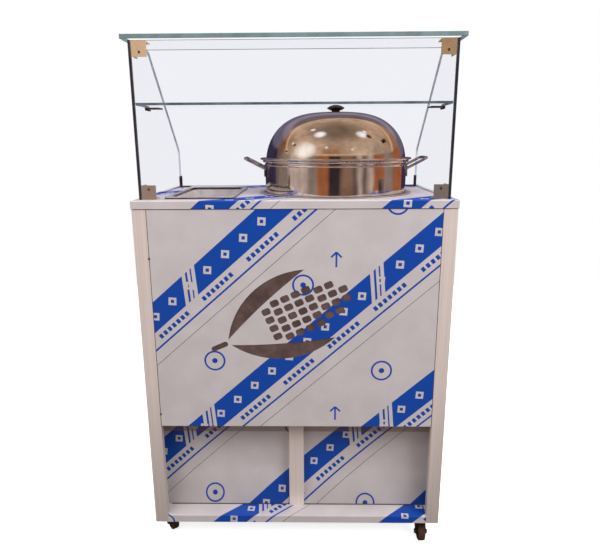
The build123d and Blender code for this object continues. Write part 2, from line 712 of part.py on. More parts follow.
def shelf_clip():
    y1 = PANE_INSIDE + SHELF_GLASS_DEPTH
    y0 = y1 - SHELF_CLIP_LENGTH
    x0 = PANE_INSIDE_X - CLAMP
    ledge = slab(x0, PANE_INSIDE_X, y0, y1, SHELF_UNDER - CLAMP_PLATE, SHELF_UNDER)
    wall_low = SHELF_UNDER - CLAMP / 2
    return ledge + slab(PANE_INSIDE_X - CLAMP_PLATE, PANE_INSIDE_X, y0, y1, wall_low, SHELF_UNDER)


# Seller's side


def control_panel():
    front = CONTROL_Y - SHEET
    panel = slab(-WALL_X, WALL_X, front, CONTROL_Y, CONTROL_BOTTOM, FLANGE_UNDER)
    panel += slab(-WALL_X, WALL_X, front - POST_RETURN, CONTROL_Y, FLANGE_UNDER - SHEET, FLANGE_UNDER)
    ledge_top = CONTROL_BOTTOM + SHEET
    panel += slab(-POST_X, POST_X, front, BODY_Y - SHEET, CONTROL_BOTTOM, ledge_top)
    panel -= along_y(SPINDLE_RADIUS + BOLT_ROOM, THERMOSTAT_X, CONTROL_LEVEL, front, CONTROL_Y)
    panel -= along_y(LAMP_RADIUS, LAMP_X, CONTROL_LEVEL, front, CONTROL_Y)
    for x, width, height in (
        (SWITCH_X, SWITCH_WIDTH, SWITCH_HEIGHT),
        (INLET_X, INLET_WIDTH, INLET_HEIGHT),
    ):
        z0 = CONTROL_LEVEL - height / 2
        panel -= slab(x - width / 2, x + width / 2, front, CONTROL_Y, z0, z0 + height)
    return panel


def thermostat_body():
    half = THERMOSTAT_SIZE / 2
    rear = CONTROL_Y - SHEET
    front = rear - THERMOSTAT_DEPTH
    case = slab(-half, half, front, rear, -half, half)
    case = fillet(case.edges().filter_by(Axis.Y), BEND)
    case -= along_y(SPINDLE_RADIUS + RUNNING, 0, 0, rear - THERMOSTAT_DEPTH / 2, rear)
    return Pos(THERMOSTAT_X, 0, CONTROL_LEVEL) * case


def thermostat_knob():
    base = CONTROL_Y + KNOB_DIAL_GAP
    skirt_top = base + KNOB_DIAL_HEIGHT / 3
    top = base + KNOB_DIAL_HEIGHT
    skirt = along_y(KNOB_DIAL_RADIUS, 0, 0, base, skirt_top)
    half = KNOB_GRIP_WIDTH / 2
    grip_end = KNOB_DIAL_RADIUS - KNOB_GRIP_INSET
    grip = slab(-half, half, skirt_top, top, -grip_end, grip_end)
    grip = fillet(grip.edges().filter_by(Axis.Y), KNOB_GRIP_WIDTH * ROUNDING)
    spindle_end = CONTROL_Y - SHEET - THERMOSTAT_DEPTH / 2 + KNOB_DIAL_GAP
    spindle = along_y(SPINDLE_RADIUS, 0, 0, spindle_end, base)
    return Pos(THERMOSTAT_X, 0, CONTROL_LEVEL) * (skirt + grip + spindle)


def pilot_lamp():
    barrel = along_y(LAMP_RADIUS, 0, 0, CONTROL_Y - SWITCH_DEPTH, CONTROL_Y)
    face = CONTROL_Y + SWITCH_BEZEL
    bezel = along_y(LAMP_BEZEL, 0, 0, CONTROL_Y, face)
    dome = Pos(0, face, 0) * Sphere(LAMP_RADIUS)
    dome -= slab(-LAMP_BEZEL, LAMP_BEZEL, face - LAMP_BEZEL, face, -LAMP_BEZEL, LAMP_BEZEL)
    return Pos(LAMP_X, 0, CONTROL_LEVEL) * (barrel + bezel + dome)


def switch_frame():
    half_x = SWITCH_WIDTH / 2
    half_z = SWITCH_HEIGHT / 2
    rear = CONTROL_Y + SWITCH_BEZEL
    case = slab(-half_x, half_x, CONTROL_Y - SWITCH_DEPTH, rear, -half_z, half_z)
    edge_x = half_x + SWITCH_BEZEL
    edge_z = half_z + SWITCH_BEZEL
    bezel = slab(-edge_x, edge_x, CONTROL_Y, rear, -edge_z, edge_z)
    bezel = fillet(bezel.faces().sort_by(Axis.Y)[-1].edges(), SWITCH_BEZEL * ROUNDING)
    case += bezel
    room_x = half_x - SWITCH_BEZEL
    room_z = half_z - SWITCH_BEZEL
    case -= slab(-room_x, room_x, CONTROL_Y - SWITCH_DEPTH + SWITCH_BEZEL, rear, -room_z, room_z)
    bore_end = room_x + ROCKER_PIN_REACH + AIR
    case -= along_x(ROCKER_PIN_RADIUS + RUNNING, CONTROL_Y, 0, -bore_end, bore_end)
    return Pos(SWITCH_X, 0, CONTROL_LEVEL) * case


def switch_rocker():
    # A curved key that rocks on two pins, shy of the frame all round.
    room_x = SWITCH_WIDTH / 2 - SWITCH_BEZEL
    half_x = room_x - AIR
    half_z = SWITCH_HEIGHT / 2 - SWITCH_BEZEL - ROCKER_PROUD / 2
    face = CONTROL_Y + ROCKER_PROUD
    key = slab(-half_x, half_x, CONTROL_Y - SWITCH_BEZEL, face + SWITCH_BEZEL, -half_z, half_z)
    dish = along_x(ROCKER_RADIUS, face + ROCKER_RADIUS, 0, -half_x, half_x)
    pin_end = room_x + ROCKER_PIN_REACH
    key = key - dish + along_x(ROCKER_PIN_RADIUS, CONTROL_Y, 0, -pin_end, pin_end)
    tilt = Pos(0, CONTROL_Y, 0) * Rot(ROCKER_TILT, 0, 0) * Pos(0, -CONTROL_Y, 0)
    return Pos(SWITCH_X, 0, CONTROL_LEVEL) * tilt * key


def power_inlet():
    half_x = INLET_WIDTH / 2
    half_z = INLET_HEIGHT / 2
    front = CONTROL_Y - INLET_DEPTH
    rear = CONTROL_Y + SWITCH_BEZEL
    case = slab(-half_x, half_x, front, rear, -half_z, half_z)
    edge_x = half_x + SWITCH_BEZEL
    edge_z = half_z + SWITCH_BEZEL
    case += slab(-edge_x, edge_x, CONTROL_Y, rear, -edge_z, edge_z)
    case = fillet(case.faces().sort_by(Axis.Y)[-1].edges(), SWITCH_BEZEL * ROUNDING)
    room_x = half_x - INLET_WALL
    room_z = half_z - INLET_WALL
    case -= slab(-room_x, room_x, front + INLET_WALL, rear, -room_z, room_z)
    for x in (-room_x / 2, 0, room_x / 2):
        pin_y = CONTROL_Y - SWITCH_BEZEL
        case += slab(x - INLET_PIN / 2, x + INLET_PIN / 2, front, pin_y, -INLET_PIN, INLET_PIN)
    return Pos(INLET_X, 0, CONTROL_LEVEL) * case


def door():
    x0 = DOOR_FINGER_GAP / 2
    x1 = POST_X - DOOR_EDGE_GAP
    y0 = BODY_Y - DOOR_THICKNESS
    z0 = TRAY_FLOOR + DOOR_END_GAP
    z1 = CONTROL_BOTTOM - DOOR_END_GAP
    panel = slab(x0, x1, y0, BODY_Y, z0, z1)
    panel = fillet(panel.faces().sort_by(Axis.Y)[-1].edges(), BEND - SHEET / 2)
    panel -= slab(x0 + SHEET, x1 - SHEET, y0, BODY_Y - SHEET, z0 + SHEET, z1 - SHEET)
    bore = disc(HINGE_PIN_RADIUS + RUNNING, z0, z1)
    return panel - Pos(HINGE_X, HINGE_Y, 0) * bore


def door_hinge_pins():
    low = disc(HINGE_PIN_RADIUS, TRAY_FLOOR, TRAY_FLOOR + HINGE_PIN_LENGTH)
    high = disc(HINGE_PIN_RADIUS, CONTROL_BOTTOM - HINGE_PIN_LENGTH, CONTROL_BOTTOM)
    pins = [Pos(HINGE_X, HINGE_Y, 0) * pin for pin in (low, high)]
    return group(pins + [mirrored(pin) for pin in pins])


# Casters


def plate_bolt_places():
    return [(x, y) for x in (-PLATE_BOLT_X, PLATE_BOLT_X) for y in (-PLATE_BOLT_Y, PLATE_BOLT_Y)]


def caster_places():
    places = {}
    for name, turn in CASTER_TURNS.items():
        x = CASTER_X if name.endswith("right") else -CASTER_X
        y = CASTER_Y if name.startswith("rear") else -CASTER_Y
        places[name] = (x, y, turn)
    return places


def at_casters(shape):
    return group([Pos(x, y, 0) * shape for x, y, _ in caster_places().values()])


def caster_plate():
    half_x = PLATE_WIDTH / 2
    half_y = PLATE_LENGTH / 2
    plate = slab(-half_x, half_x, -half_y, half_y, PLATE_UNDER, CASTER_HEIGHT)
    plate = fillet(plate.edges().filter_by(Axis.Z), 2 * BEND)
    race_low = CROWN_TOP + AIR
    race = Cone(RACE_RADIUS, RACE_RADIUS + BEND, PLATE_UNDER - race_low)
    plate += Pos(0, 0, (race_low + PLATE_UNDER) / 2) * race
    plate -= disc(KINGPIN_RADIUS, CROWN_TOP, CASTER_HEIGHT)
    for x, y in plate_bolt_places():
        plate -= Pos(x, y, 0) * disc(BOLT_RADIUS + BOLT_ROOM, PLATE_UNDER, CASTER_HEIGHT)
    return plate


def caster_bolts():
    head = Pos(0, 0, PLATE_UNDER - BOLT_HEAD) * extrude(RegularPolygon(BOLT_HEAD_RADIUS, 6), BOLT_HEAD)
    bolt = head + disc(BOLT_RADIUS, PLATE_UNDER, PLATE_UNDER + BOLT_LENGTH)
    bolts = []
    for cx, cy, _ in caster_places().values():
        for x, y in plate_bolt_places():
            bolts.append(Pos(cx + x, cy + y, 0) * bolt)
    return group(bolts)


def kingpin():
    crown_under = CROWN_TOP - CROWN_THICKNESS
    head = disc(KINGPIN_HEAD_RADIUS, crown_under - AIR - KINGPIN_HEAD, crown_under - AIR)
    return head + disc(KINGPIN_RADIUS, crown_under - AIR, CASTER_HEIGHT)


def caster_fork():
    crown_under = CROWN_TOP - CROWN_THICKNESS
    fork = disc(CROWN_RADIUS, crown_under, CROWN_TOP)
    fork = fillet(fork.faces().sort_by(Axis.Z)[-1].edges(), CROWN_THICKNESS * ROUNDING)
    inner = WHEEL_WIDTH / 2 + CHEEK_GAP
    outer = inner + CHEEK
    reach = sqrt(CROWN_RADIUS**2 - outer**2)
    boss = Pos(CASTER_TRAIL, AXLE_LEVEL) * Circle(CHEEK_BOSS)
    shoulder_level = crown_under + CROWN_THICKNESS / 2
    shoulder = Line((-reach, shoulder_level), (reach, shoulder_level))
    outline = make_hull(boss.edges() + shoulder.edges())
    for y in (-outer, inner):
        cheek = extrude(Plane.XZ * outline, CHEEK)
        fork += Pos(0, y + CHEEK, 0) * cheek
    fork -= disc(KINGPIN_RADIUS + RUNNING, crown_under, CROWN_TOP)
    return fork - along_y(AXLE_RADIUS, CASTER_TRAIL, AXLE_LEVEL, -outer, outer)


def caster_axle():
    outer = WHEEL_WIDTH / 2 + CHEEK_GAP + CHEEK
    axle = along_y(AXLE_RADIUS, 0, 0, -outer, outer)
    hexagon = extrude(RegularPolygon(AXLE_HEAD_RADIUS, 6), AXLE_HEAD)
    axle += Pos(0, -outer, 0) * Rot(90, 0, 0) * hexagon
    axle += Pos(0, outer, 0) * Rot(-90, 0, 0) * hexagon
    return Pos(CASTER_TRAIL, 0, AXLE_LEVEL) * axle


def caster_wheel():
    radius = WHEEL_DIAMETER / 2
    half = WHEEL_WIDTH / 2
    wheel = Cylinder(radius, WHEEL_WIDTH)
    wheel = fillet(wheel.edges(), WHEEL_TREAD_RADIUS)
    for z in (-half, half - WHEEL_DISH):
        dish = disc(radius - WHEEL_RIM, z, z + WHEEL_DISH) - disc(HUB_RADIUS, z, z + WHEEL_DISH)
        wheel -= dish
    wheel -= Cylinder(AXLE_RADIUS + RUNNING, WHEEL_WIDTH)
    return Pos(CASTER_TRAIL, 0, AXLE_LEVEL) * Rot(90, 0, 0) * wheel


def all_pieces():
    right_side = side_panel()
    right_pane = side_glass()
    clamp_low = corner_clamp(COUNTER_HEIGHT, 1)
    clamp_high = corner_clamp(ROOF_UNDER, -1)
    clamp_rear = rear_clamp()
    right_door = door()
    pieces = {
        "side_panel_left": mirrored(right_side),
        "side_panel_right": right_side,
        "base_tray": base_tray(),
        "base_channels": pair(base_channel()),
        "inner_front_panel": inner_front_panel(),
        "niche_post": niche_post(),
        "front_fascia": front_fascia(),
        "fascia_backing": fascia_backing(),
        "fascia_screws": fascia_screws(),
        "countertop": countertop(),
        "mid_shelf": mid_shelf(),
        "pot_collar": pot_collar(),
        "pot_body": pot_body(),
        "pot_handle_left": pot_handle(180 + HANDLE_TURN),
        "pot_handle_right": pot_handle(HANDLE_TURN),
        "lid_dome": lid_dome(),
        "lid_knob": lid_knob(),
        "lid_knob_screw": lid_knob_screw(),
        "heater_plate": heater_plate(),
        "heater_tray": heater_tray(),
        "heater_hangers": heater_hangers(),
        "gn_pan": gn_pan(),
        "roof_glass": roof_glass(),
        "front_glass": front_glass(),
        "side_glass_left": mirrored(right_pane),
        "side_glass_right": right_pane,
        "shelf_glass": shelf_glass(),
        "corner_clamp_bottom_left": mirrored(clamp_low),
        "corner_clamp_bottom_right": clamp_low,
        "corner_clamp_top_left": mirrored(clamp_high),
        "corner_clamp_top_right": clamp_high,
        "clamp_screws": clamp_screws(),
        "rear_clamp_left": mirrored(clamp_rear),
        "rear_clamp_right": clamp_rear,
        "shelf_clips": pair(shelf_clip()),
        "control_panel": control_panel(),
        "thermostat_body": thermostat_body(),
        "thermostat_knob": thermostat_knob(),
        "pilot_lamp": pilot_lamp(),
        "switch_frame": switch_frame(),
        "switch_rocker": switch_rocker(),
        "power_inlet": power_inlet(),
        "door_left": mirrored(right_door),
        "door_right": right_door,
        "door_hinge_pins": door_hinge_pins(),
        "caster_plates": at_casters(caster_plate()),
        "caster_bolts": caster_bolts(),
        "caster_kingpins": at_casters(kingpin()),
    }
    for name, (x, y, turn) in caster_places().items():
        place = Pos(x, y, 0) * Rot(0, 0, turn)
        pieces["caster_fork_" + name] = place * caster_fork()
        pieces["caster_axle_" + name] = place * caster_axle()
        pieces["caster_wheel_" + name] = place * caster_wheel()
    return pieces


os.makedirs("parts", exist_ok=True)
for node, shape in all_pieces().items():
    export_step(shape, os.path.join("parts", node + ".step"))
    print(node)
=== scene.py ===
import bpy
import bmesh
from math import cos, pi, radians, sin
from mathutils import Matrix, Vector


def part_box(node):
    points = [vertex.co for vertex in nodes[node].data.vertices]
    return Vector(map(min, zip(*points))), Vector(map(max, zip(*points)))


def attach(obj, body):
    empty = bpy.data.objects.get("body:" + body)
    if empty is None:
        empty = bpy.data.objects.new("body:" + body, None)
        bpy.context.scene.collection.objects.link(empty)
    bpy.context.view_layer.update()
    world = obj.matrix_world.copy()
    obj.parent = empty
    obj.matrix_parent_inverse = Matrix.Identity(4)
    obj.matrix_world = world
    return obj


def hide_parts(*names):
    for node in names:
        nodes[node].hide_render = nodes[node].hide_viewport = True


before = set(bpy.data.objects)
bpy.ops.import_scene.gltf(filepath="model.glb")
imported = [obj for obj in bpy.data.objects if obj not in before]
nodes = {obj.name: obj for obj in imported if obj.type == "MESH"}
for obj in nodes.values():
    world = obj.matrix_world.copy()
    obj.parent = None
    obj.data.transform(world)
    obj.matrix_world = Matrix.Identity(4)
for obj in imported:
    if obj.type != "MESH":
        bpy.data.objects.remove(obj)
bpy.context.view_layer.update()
mm = 0.001
print("frame: loaded", len(nodes), "nodes")


def linear(code):
    # sRGB hex to the linear colour that shaders take
    shares = [int(code[start:start + 2], 16) / 255 for start in (1, 3, 5)]
    return tuple(s / 12.92 if s <= 0.04045 else ((s + 0.055) / 1.055) ** 2.4 for s in shares) + (1.0,)


def addNode(tree, kind, inputs=None, stops=None, hold=False, **settings):
    # one node, its settings, its values or links, and the stops of a ramp
    node = tree.nodes.new("ShaderNode" + kind)
    for label, value in settings.items():
        setattr(node, label, value)
    for label, value in (inputs or {}).items():
        if isinstance(value, bpy.types.NodeSocket):
            tree.links.new(value, node.inputs[label])
        else:
            node.inputs[label].default_value = value
    if stops:
        ramp = node.color_ramp
        ramp.interpolation = "CONSTANT" if hold else "LINEAR"
        ramp.elements.remove(ramp.elements[1])
        ramp.elements[0].position, ramp.elements[0].color = stops[0]
        for place, colour in stops[1:]:
            ramp.elements.new(place).color = colour
    return node


def startMaterial(name, values):
    material = bpy.data.materials.new(name)
    material.use_nodes = True
    shader = material.node_tree.nodes["Principled BSDF"]
    for label, value in values.items():
        shader.inputs[label].default_value = value
    return material, material.node_tree, shader


def plug(tree, shader, links):
    for label, value in links.items():
        tree.links.new(value, shader.inputs[label])


def dress(material, *names):
    for name in names:
        for place in nodes[name].material_slots:
            place.material = material


def addPiece(name, shape, body, slot, *materials):
    mesh = bpy.data.meshes.new(name)
    shape.to_mesh(mesh)
    shape.free()
    for material in materials:
        mesh.materials.append(material)
    piece = bpy.data.objects.new(name, mesh)
    bpy.context.scene.collection.objects.link(piece)
    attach(piece, body)
    return piece


def addSolid(name, shape, body, slot, material):
    bmesh.ops.recalc_face_normals(shape, faces=shape.faces)
    return addPiece(name, shape, body, slot, material)


black = (0.0, 0.0, 0.0, 1.0)
white = (1.0, 1.0, 1.0, 1.0)
midSpread = (0.35, 0.65)    # parts of a noise's range that a ramp's two colours span
wideSpread = (0.3, 0.7)


def toneStops(dark, light, spread=midSpread):
    return list(zip(spread, (linear(dark), linear(light))))


def edgeStops(edges, period, first, second):
    # stops that switch between two tones at each edge
    tones = (first, second)
    return [(0.0, first)] + [(edge / period, tones[(index + 1) % 2]) for index, edge in enumerate(edges)]


def stripeStops(start, full, last, end):
    # stops of one white stripe with soft edges
    return [(0.0, black), (start, black), (full, white), (last, white), (end, black)]


# Bare sheet of the posts, doors and panels
bareSheet = {
    "light": "#EBDED8",
    "dark": "#DCCEC8",
    "brushWidth": 2.0,       # mm; mill brush lines are 0.2 mm, drawn coarser so that they show
    "brushLength": 500.0,    # mm
    "metallic": 0.25,
    "roughness": (0.3, 0.44),
    "relief": (0.06, 0.2),         # strength, and depth in mm
    "shadedFoot": (0.08, 0.5, 0.72),    # m above the floor where the painted shade starts and ends, and the light it leaves
}


def brushedStainless(name, shadedFoot):
    # Stainless sheet, belt brushed: pale and warm, with upright streaks that stretch the shine; a shaded-foot
    # one has painted shade, darker towards its foot
    material, tree, shader = startMaterial(name, {"Metallic": bareSheet["metallic"]})
    width = bareSheet["brushWidth"] * mm
    length = bareSheet["brushLength"] * mm
    place = addNode(tree, "TexCoord").outputs["Object"]
    scale = (1 / width, 1 / width, 1 / length)
    drawn = addNode(tree, "Mapping", {"Vector": place, "Scale": scale}).outputs["Vector"]
    height = addNode(tree, "TexNoise", {"Vector": drawn, "Scale": 1.0, "Detail": 4.0}).outputs["Fac"]
    stops = toneStops(bareSheet["dark"], bareSheet["light"], wideSpread)
    colour = addNode(tree, "ValToRGB", {"Fac": height}, stops).outputs["Color"]
    low, high = bareSheet["roughness"]
    gloss = addNode(tree, "MapRange", {"Value": height, "To Min": low, "To Max": high}).outputs["Result"]
    strength, depth = bareSheet["relief"]
    relief = addNode(
        tree, "Bump", {"Height": height, "Strength": strength, "Distance": depth * mm}
    ).outputs["Normal"]
    # painted shade: the colour grows darker towards the floor
    if shadedFoot:
        foot, clear, left = bareSheet["shadedFoot"]
        level = addNode(tree, "SeparateXYZ", {"Vector": place}).outputs["Z"]
        footShade = addNode(tree, "MapRange", {
            "Value": level, "From Min": foot, "From Max": clear, "To Min": left, "To Max": 1.0,
        }).outputs["Result"]
        colour = addNode(tree, "VectorMath", {0: colour, "Scale": footShade}, operation="SCALE").outputs["Vector"]
    plug(tree, shader, {"Base Color": colour, "Roughness": gloss, "Normal": relief})
    return material


# Printed film on the fascia, the cove, the tray and the counter
film = {
    "base": "#D5CED0",
    "shade": "#CFC7C9",
    "ink": "#0048AE",
    "hair": "#3E3C48",
    "tilt": 41.4,            # degrees that the bands climb
    "period": 308.0,         # mm from band to band, square to them
    "band": 62.0,            # mm
    "linePlace": 269.0,      # mm above a band's lower edge
    "lineWidth": 5.0,
    "hairPlace": 240.0,
    "hairWidth": 1.6,
    "gapPeriod": 473.0,      # mm across the sheet between the breaks in a band
    "gapLean": 0.09,         # mm sideways per mm of height
    "gapBars": (9.0, 13.0, 21.0, 25.0, 34.0),
    "dashZone": (284.0, 296.0),
    "dashPitch": 15.4,       # mm, seven dashes and three spaces to a group
    "dashShare": 0.62,
    "dashGroup": 154.0,
    "groupShare": 0.68,
    "diamondsEach": 5,       # along one period
    "diamond": 14.0,         # mm, half of its diagonal
    "diamondHole": 6.0,
    "ring": (7.0, 22.5, 26.5),    # mm, radii of the dot and of the ring's two edges
    "crease": 60.0,          # mm between the soft wrinkles
    "roughness": (0.36, 0.5),
    "relief": (0.12, 1.0),   # strength, and depth in mm
    "coveFootShade": (97.0, 190.0, 0.7),     # mm over the floor where the cove's painted shade starts and ends, light left
    "coveShadowBand": (313.0, 315.0, 0.5),    # mm over the floor where the cove turns upright and its painted brown shadow band starts, share of brown there
    "shadowBandTint": "#7C5546",
}
# Its lie on each sheet: place of a band and of a break in mm, share of the depth that the pattern climbs
# with, place of a ring in periods, and whether the sheet has the cove
filmedSheets = {
    "front_fascia": ("filmedStainlessFascia", 103.0, -213.0, 0.0, 0.3, False),
    "inner_front_panel": ("filmedStainlessCove", 103.0, -295.0, 0.0, 0.3, True),
    "base_tray": ("filmedStainlessTray", -44.0, -120.0, 1.0, 0.3, False),
    "countertop": ("filmedStainlessCounter", 14.0, 60.0, 1.0, 0.55, False),
}


def filmedStainless(name, phase, gapPhase, depthShare, ringShift, coved):
    # Stainless sheet under printed polyethylene film: satin, faintly creased, with blue ink bands
    values = {"Metallic": 0.2, "Coat Weight": 0.15, "Coat Roughness": 0.25}
    material, tree, shader = startMaterial(name, values)
    tilt = radians(film["tilt"])
    period = film["period"]
    place = addNode(tree, "TexCoord").outputs["Object"]
    climb = Vector((cos(tilt), depthShare * sin(tilt), sin(tilt))) / mm
    rise = Vector((-sin(tilt), depthShare * cos(tilt), cos(tilt))) / mm
    lean = Vector((1.0, depthShare * film["gapLean"], film["gapLean"])) / mm
    along, across, beside = (
        addNode(tree, "VectorMath", {0: place, 1: direction}, operation="DOT_PRODUCT").outputs["Value"]
        for direction in (climb, rise, lean)
    )

    bandCount = addNode(
        tree, "Math", {0: across, 1: 1 / period, 2: -phase / period}, operation="MULTIPLY_ADD"
    ).outputs[0]
    bandPlace = addNode(tree, "Math", {0: bandCount}, operation="FRACT").outputs[0]
    lineEnd = film["linePlace"] + film["lineWidth"]
    hairEnd = film["hairPlace"] + film["hairWidth"]
    bandMask, lineMask, hairMask, zoneMask = (
        addNode(tree, "ValToRGB", {"Fac": bandPlace}, edges, True).outputs["Color"]
        for edges in (
            edgeStops([film["band"]], period, white, black),
            edgeStops([film["linePlace"], lineEnd], period, black, white),
            edgeStops([film["hairPlace"], hairEnd], period, black, white),
            edgeStops(film["dashZone"], period, black, white),
        )
    )

    # Slanted breaks with two thin bars
    gapPeriod = film["gapPeriod"]
    gapCount = addNode(
        tree, "Math", {0: beside, 1: 1 / gapPeriod, 2: -gapPhase / gapPeriod}, operation="MULTIPLY_ADD"
    ).outputs[0]
    gapPlace = addNode(tree, "Math", {0: gapCount}, operation="FRACT").outputs[0]
    gapEdges = edgeStops(film["gapBars"], gapPeriod, black, white)
    gapMask = addNode(tree, "ValToRGB", {"Fac": gapPlace}, gapEdges, True).outputs["Color"]

    # One row of open diamonds along the middle of each band
    pitch = period / film["diamondsEach"]
    bandMiddle = phase + film["band"] / 2
    diamondAlong = addNode(tree, "Math", {0: along, 1: 1 / pitch}, operation="MULTIPLY").outputs[0]
    diamondAcross = addNode(
        tree, "Math", {0: across, 1: 1 / pitch, 2: -bandMiddle / pitch}, operation="MULTIPLY_ADD"
    ).outputs[0]
    diamondPlace = addNode(tree, "CombineXYZ", {"X": diamondAlong, "Y": diamondAcross}).outputs[0]
    diamondGrid = addNode(
        tree, "TexVoronoi", {"Vector": diamondPlace, "Scale": 1.0, "Randomness": 0.0},
        voronoi_dimensions="2D", distance="MANHATTAN",
    ).outputs["Distance"]
    diamondEdges = edgeStops([film["diamondHole"], film["diamond"]], pitch, white, black)
    diamondMask = addNode(tree, "ValToRGB", {"Fac": diamondGrid}, diamondEdges, True).outputs["Color"]

    # Dashes in groups, between a band and its line
    dashes = zoneMask
    for length, share in (("dashPitch", "dashShare"), ("dashGroup", "groupShare")):
        count = addNode(tree, "Math", {0: along, 1: 1 / film[length]}, operation="MULTIPLY").outputs[0]
        part = addNode(tree, "Math", {0: count}, operation="FRACT").outputs[0]
        filled = addNode(tree, "Math", {0: part, 1: film[share]}, operation="LESS_THAN").outputs[0]
        dashes = addNode(tree, "Math", {0: dashes, 1: filled}, operation="MULTIPLY").outputs[0]

    # Ring and dot in the bare strip
    ringAlong = addNode(
        tree, "Math", {0: along, 1: 1 / period, 2: ringShift}, operation="MULTIPLY_ADD"
    ).outputs[0]
    middle = (film["band"] + film["hairPlace"]) / 2
    ringAcross = addNode(tree, "Math", {0: bandCount, 1: -middle / period}, operation="ADD").outputs[0]
    ringPlace = addNode(tree, "CombineXYZ", {"X": ringAlong, "Y": ringAcross}).outputs[0]
    ringGrid = addNode(
        tree, "TexVoronoi", {"Vector": ringPlace, "Scale": 1.0, "Randomness": 0.0}, voronoi_dimensions="2D"
    ).outputs["Distance"]
    ringEdges = edgeStops(film["ring"], period, white, black)
    ringMask = addNode(tree, "ValToRGB", {"Fac": ringGrid}, ringEdges, True).outputs["Color"]

    inked = bandMask
    for mask in (gapMask, diamondMask):
        inked = addNode(tree, "Math", {0: inked, 1: mask}, operation="MULTIPLY").outputs[0]
    for mask in (lineMask, dashes, ringMask):
        inked = addNode(tree, "Math", {0: inked, 1: mask}, operation="MAXIMUM").outputs[0]

    creaseScale = 1 / (film["crease"] * mm)
    creases = addNode(tree, "TexNoise", {"Vector": place, "Scale": creaseScale, "Detail": 3.0}).outputs["Fac"]
    bare = addNode(tree, "ValToRGB", {"Fac": creases}, toneStops(film["shade"], film["base"])).outputs["Color"]
    haired = addNode(
        tree, "MixRGB", {"Fac": hairMask, "Color1": bare, "Color2": linear(film["hair"])}
    ).outputs["Color"]
    printed = addNode(
        tree, "MixRGB", {"Fac": inked, "Color1": haired, "Color2": linear(film["ink"])}
    ).outputs["Color"]
    # painted shade on the cove's front faces: darker towards its foot, and a brown painted shadow band high up,
    # under the fascia
    if coved:
        level = addNode(tree, "SeparateXYZ", {"Vector": place}).outputs["Z"]
        low, high, left = film["coveFootShade"]
        shade = addNode(tree, "MapRange", {
            "Value": level, "From Min": low * mm, "From Max": high * mm, "To Min": left, "To Max": 1.0,
        }).outputs["Result"]
        shaded = addNode(tree, "VectorMath", {0: printed, "Scale": shade}, operation="SCALE").outputs["Vector"]
        low, high, share = film["coveShadowBand"]
        shadowBand = addNode(tree, "MapRange", {
            "Value": level, "From Min": low * mm, "From Max": high * mm, "To Min": 0.0, "To Max": share,
        }).outputs["Result"]
        coveShaded = addNode(
            tree, "MixRGB", {"Fac": shadowBand, "Color1": shaded, "Color2": linear(film["shadowBandTint"])}
        ).outputs["Color"]
        facing = addNode(tree, "NewGeometry").outputs["Normal"]
        rearward = addNode(tree, "SeparateXYZ", {"Vector": facing}).outputs["Y"]
        frontFace = addNode(tree, "Math", {0: rearward, 1: 0.0}, operation="LESS_THAN").outputs[0]
        printed = addNode(
            tree, "MixRGB", {"Fac": frontFace, "Color1": bare, "Color2": coveShaded}
        ).outputs["Color"]
    low, high = film["roughness"]
    gloss = addNode(tree, "MapRange", {"Value": creases, "To Min": low, "To Max": high}).outputs["Result"]
    strength, depth = film["relief"]
    relief = addNode(
        tree, "Bump", {"Height": creases, "Strength": strength, "Distance": depth * mm}
    ).outputs["Normal"]
    plug(tree, shader, {"Base Color": printed, "Roughness": gloss, "Normal": relief})
    return material


# Mirror finish of the pot and its lid, and the cooler, duller one of the handles
potFinish = {
    "tint": "#E6E1DD",
    "smear": "#D3CCC7",
    "spinWidth": 3.0,        # mm; spinning lines are 0.3 mm, drawn coarser so that they show
    "smudge": 45.0,          # mm
    "roughness": (0.05, 0.11),
}
handleFinish = {
    "tint": "#D0D6E6",
    "smear": "#9AA2B6",
    "spinWidth": 3.0,
    "smudge": 20.0,
    "roughness": (0.1, 0.2),
}
spunSpread = (0.35, 0.6)
spunRelief = (0.03, 0.1)     # strength, and depth in mm


def spunStainless(name, look):
    # Stainless steel, spun or drawn and buffed: a mirror with faint rings and hand smears
    material, tree, shader = startMaterial(name, {"Metallic": 1.0})
    low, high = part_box("pot_body")
    axis = Vector(((low.x + high.x) / 2, (low.y + high.y) / 2, 0.0))
    place = addNode(tree, "TexCoord").outputs["Object"]
    offset = addNode(tree, "VectorMath", {0: place, 1: axis}, operation="SUBTRACT").outputs["Vector"]
    flat = addNode(tree, "VectorMath", {0: offset, 1: (1.0, 1.0, 0.0)}, operation="MULTIPLY").outputs["Vector"]
    radius = addNode(tree, "VectorMath", {0: flat}, operation="LENGTH").outputs["Value"]
    level = addNode(tree, "SeparateXYZ", {"Vector": place}).outputs["Z"]
    path = addNode(tree, "Math", {0: radius, 1: level}, operation="ADD").outputs[0]
    turns = addNode(tree, "Math", {0: path, 1: 1 / (look["spinWidth"] * mm)}, operation="MULTIPLY").outputs[0]
    rings = addNode(
        tree, "TexNoise", {"W": turns, "Scale": 1.0, "Detail": 2.0}, noise_dimensions="1D"
    ).outputs["Fac"]
    scale = 1 / (look["smudge"] * mm)
    smudge = addNode(tree, "TexNoise", {"Vector": place, "Scale": scale, "Detail": 3.0}).outputs["Fac"]
    stops = toneStops(look["smear"], look["tint"], spunSpread)
    tint = addNode(tree, "ValToRGB", {"Fac": smudge}, stops).outputs["Color"]
    low, high = look["roughness"]
    gloss = addNode(tree, "MapRange", {"Value": smudge, "To Min": low, "To Max": high}).outputs["Result"]
    strength, depth = spunRelief
    relief = addNode(
        tree, "Bump", {"Height": rings, "Strength": strength, "Distance": depth * mm}
    ).outputs["Normal"]
    plug(tree, shader, {"Base Color": tint, "Roughness": gloss, "Normal": relief})
    return material
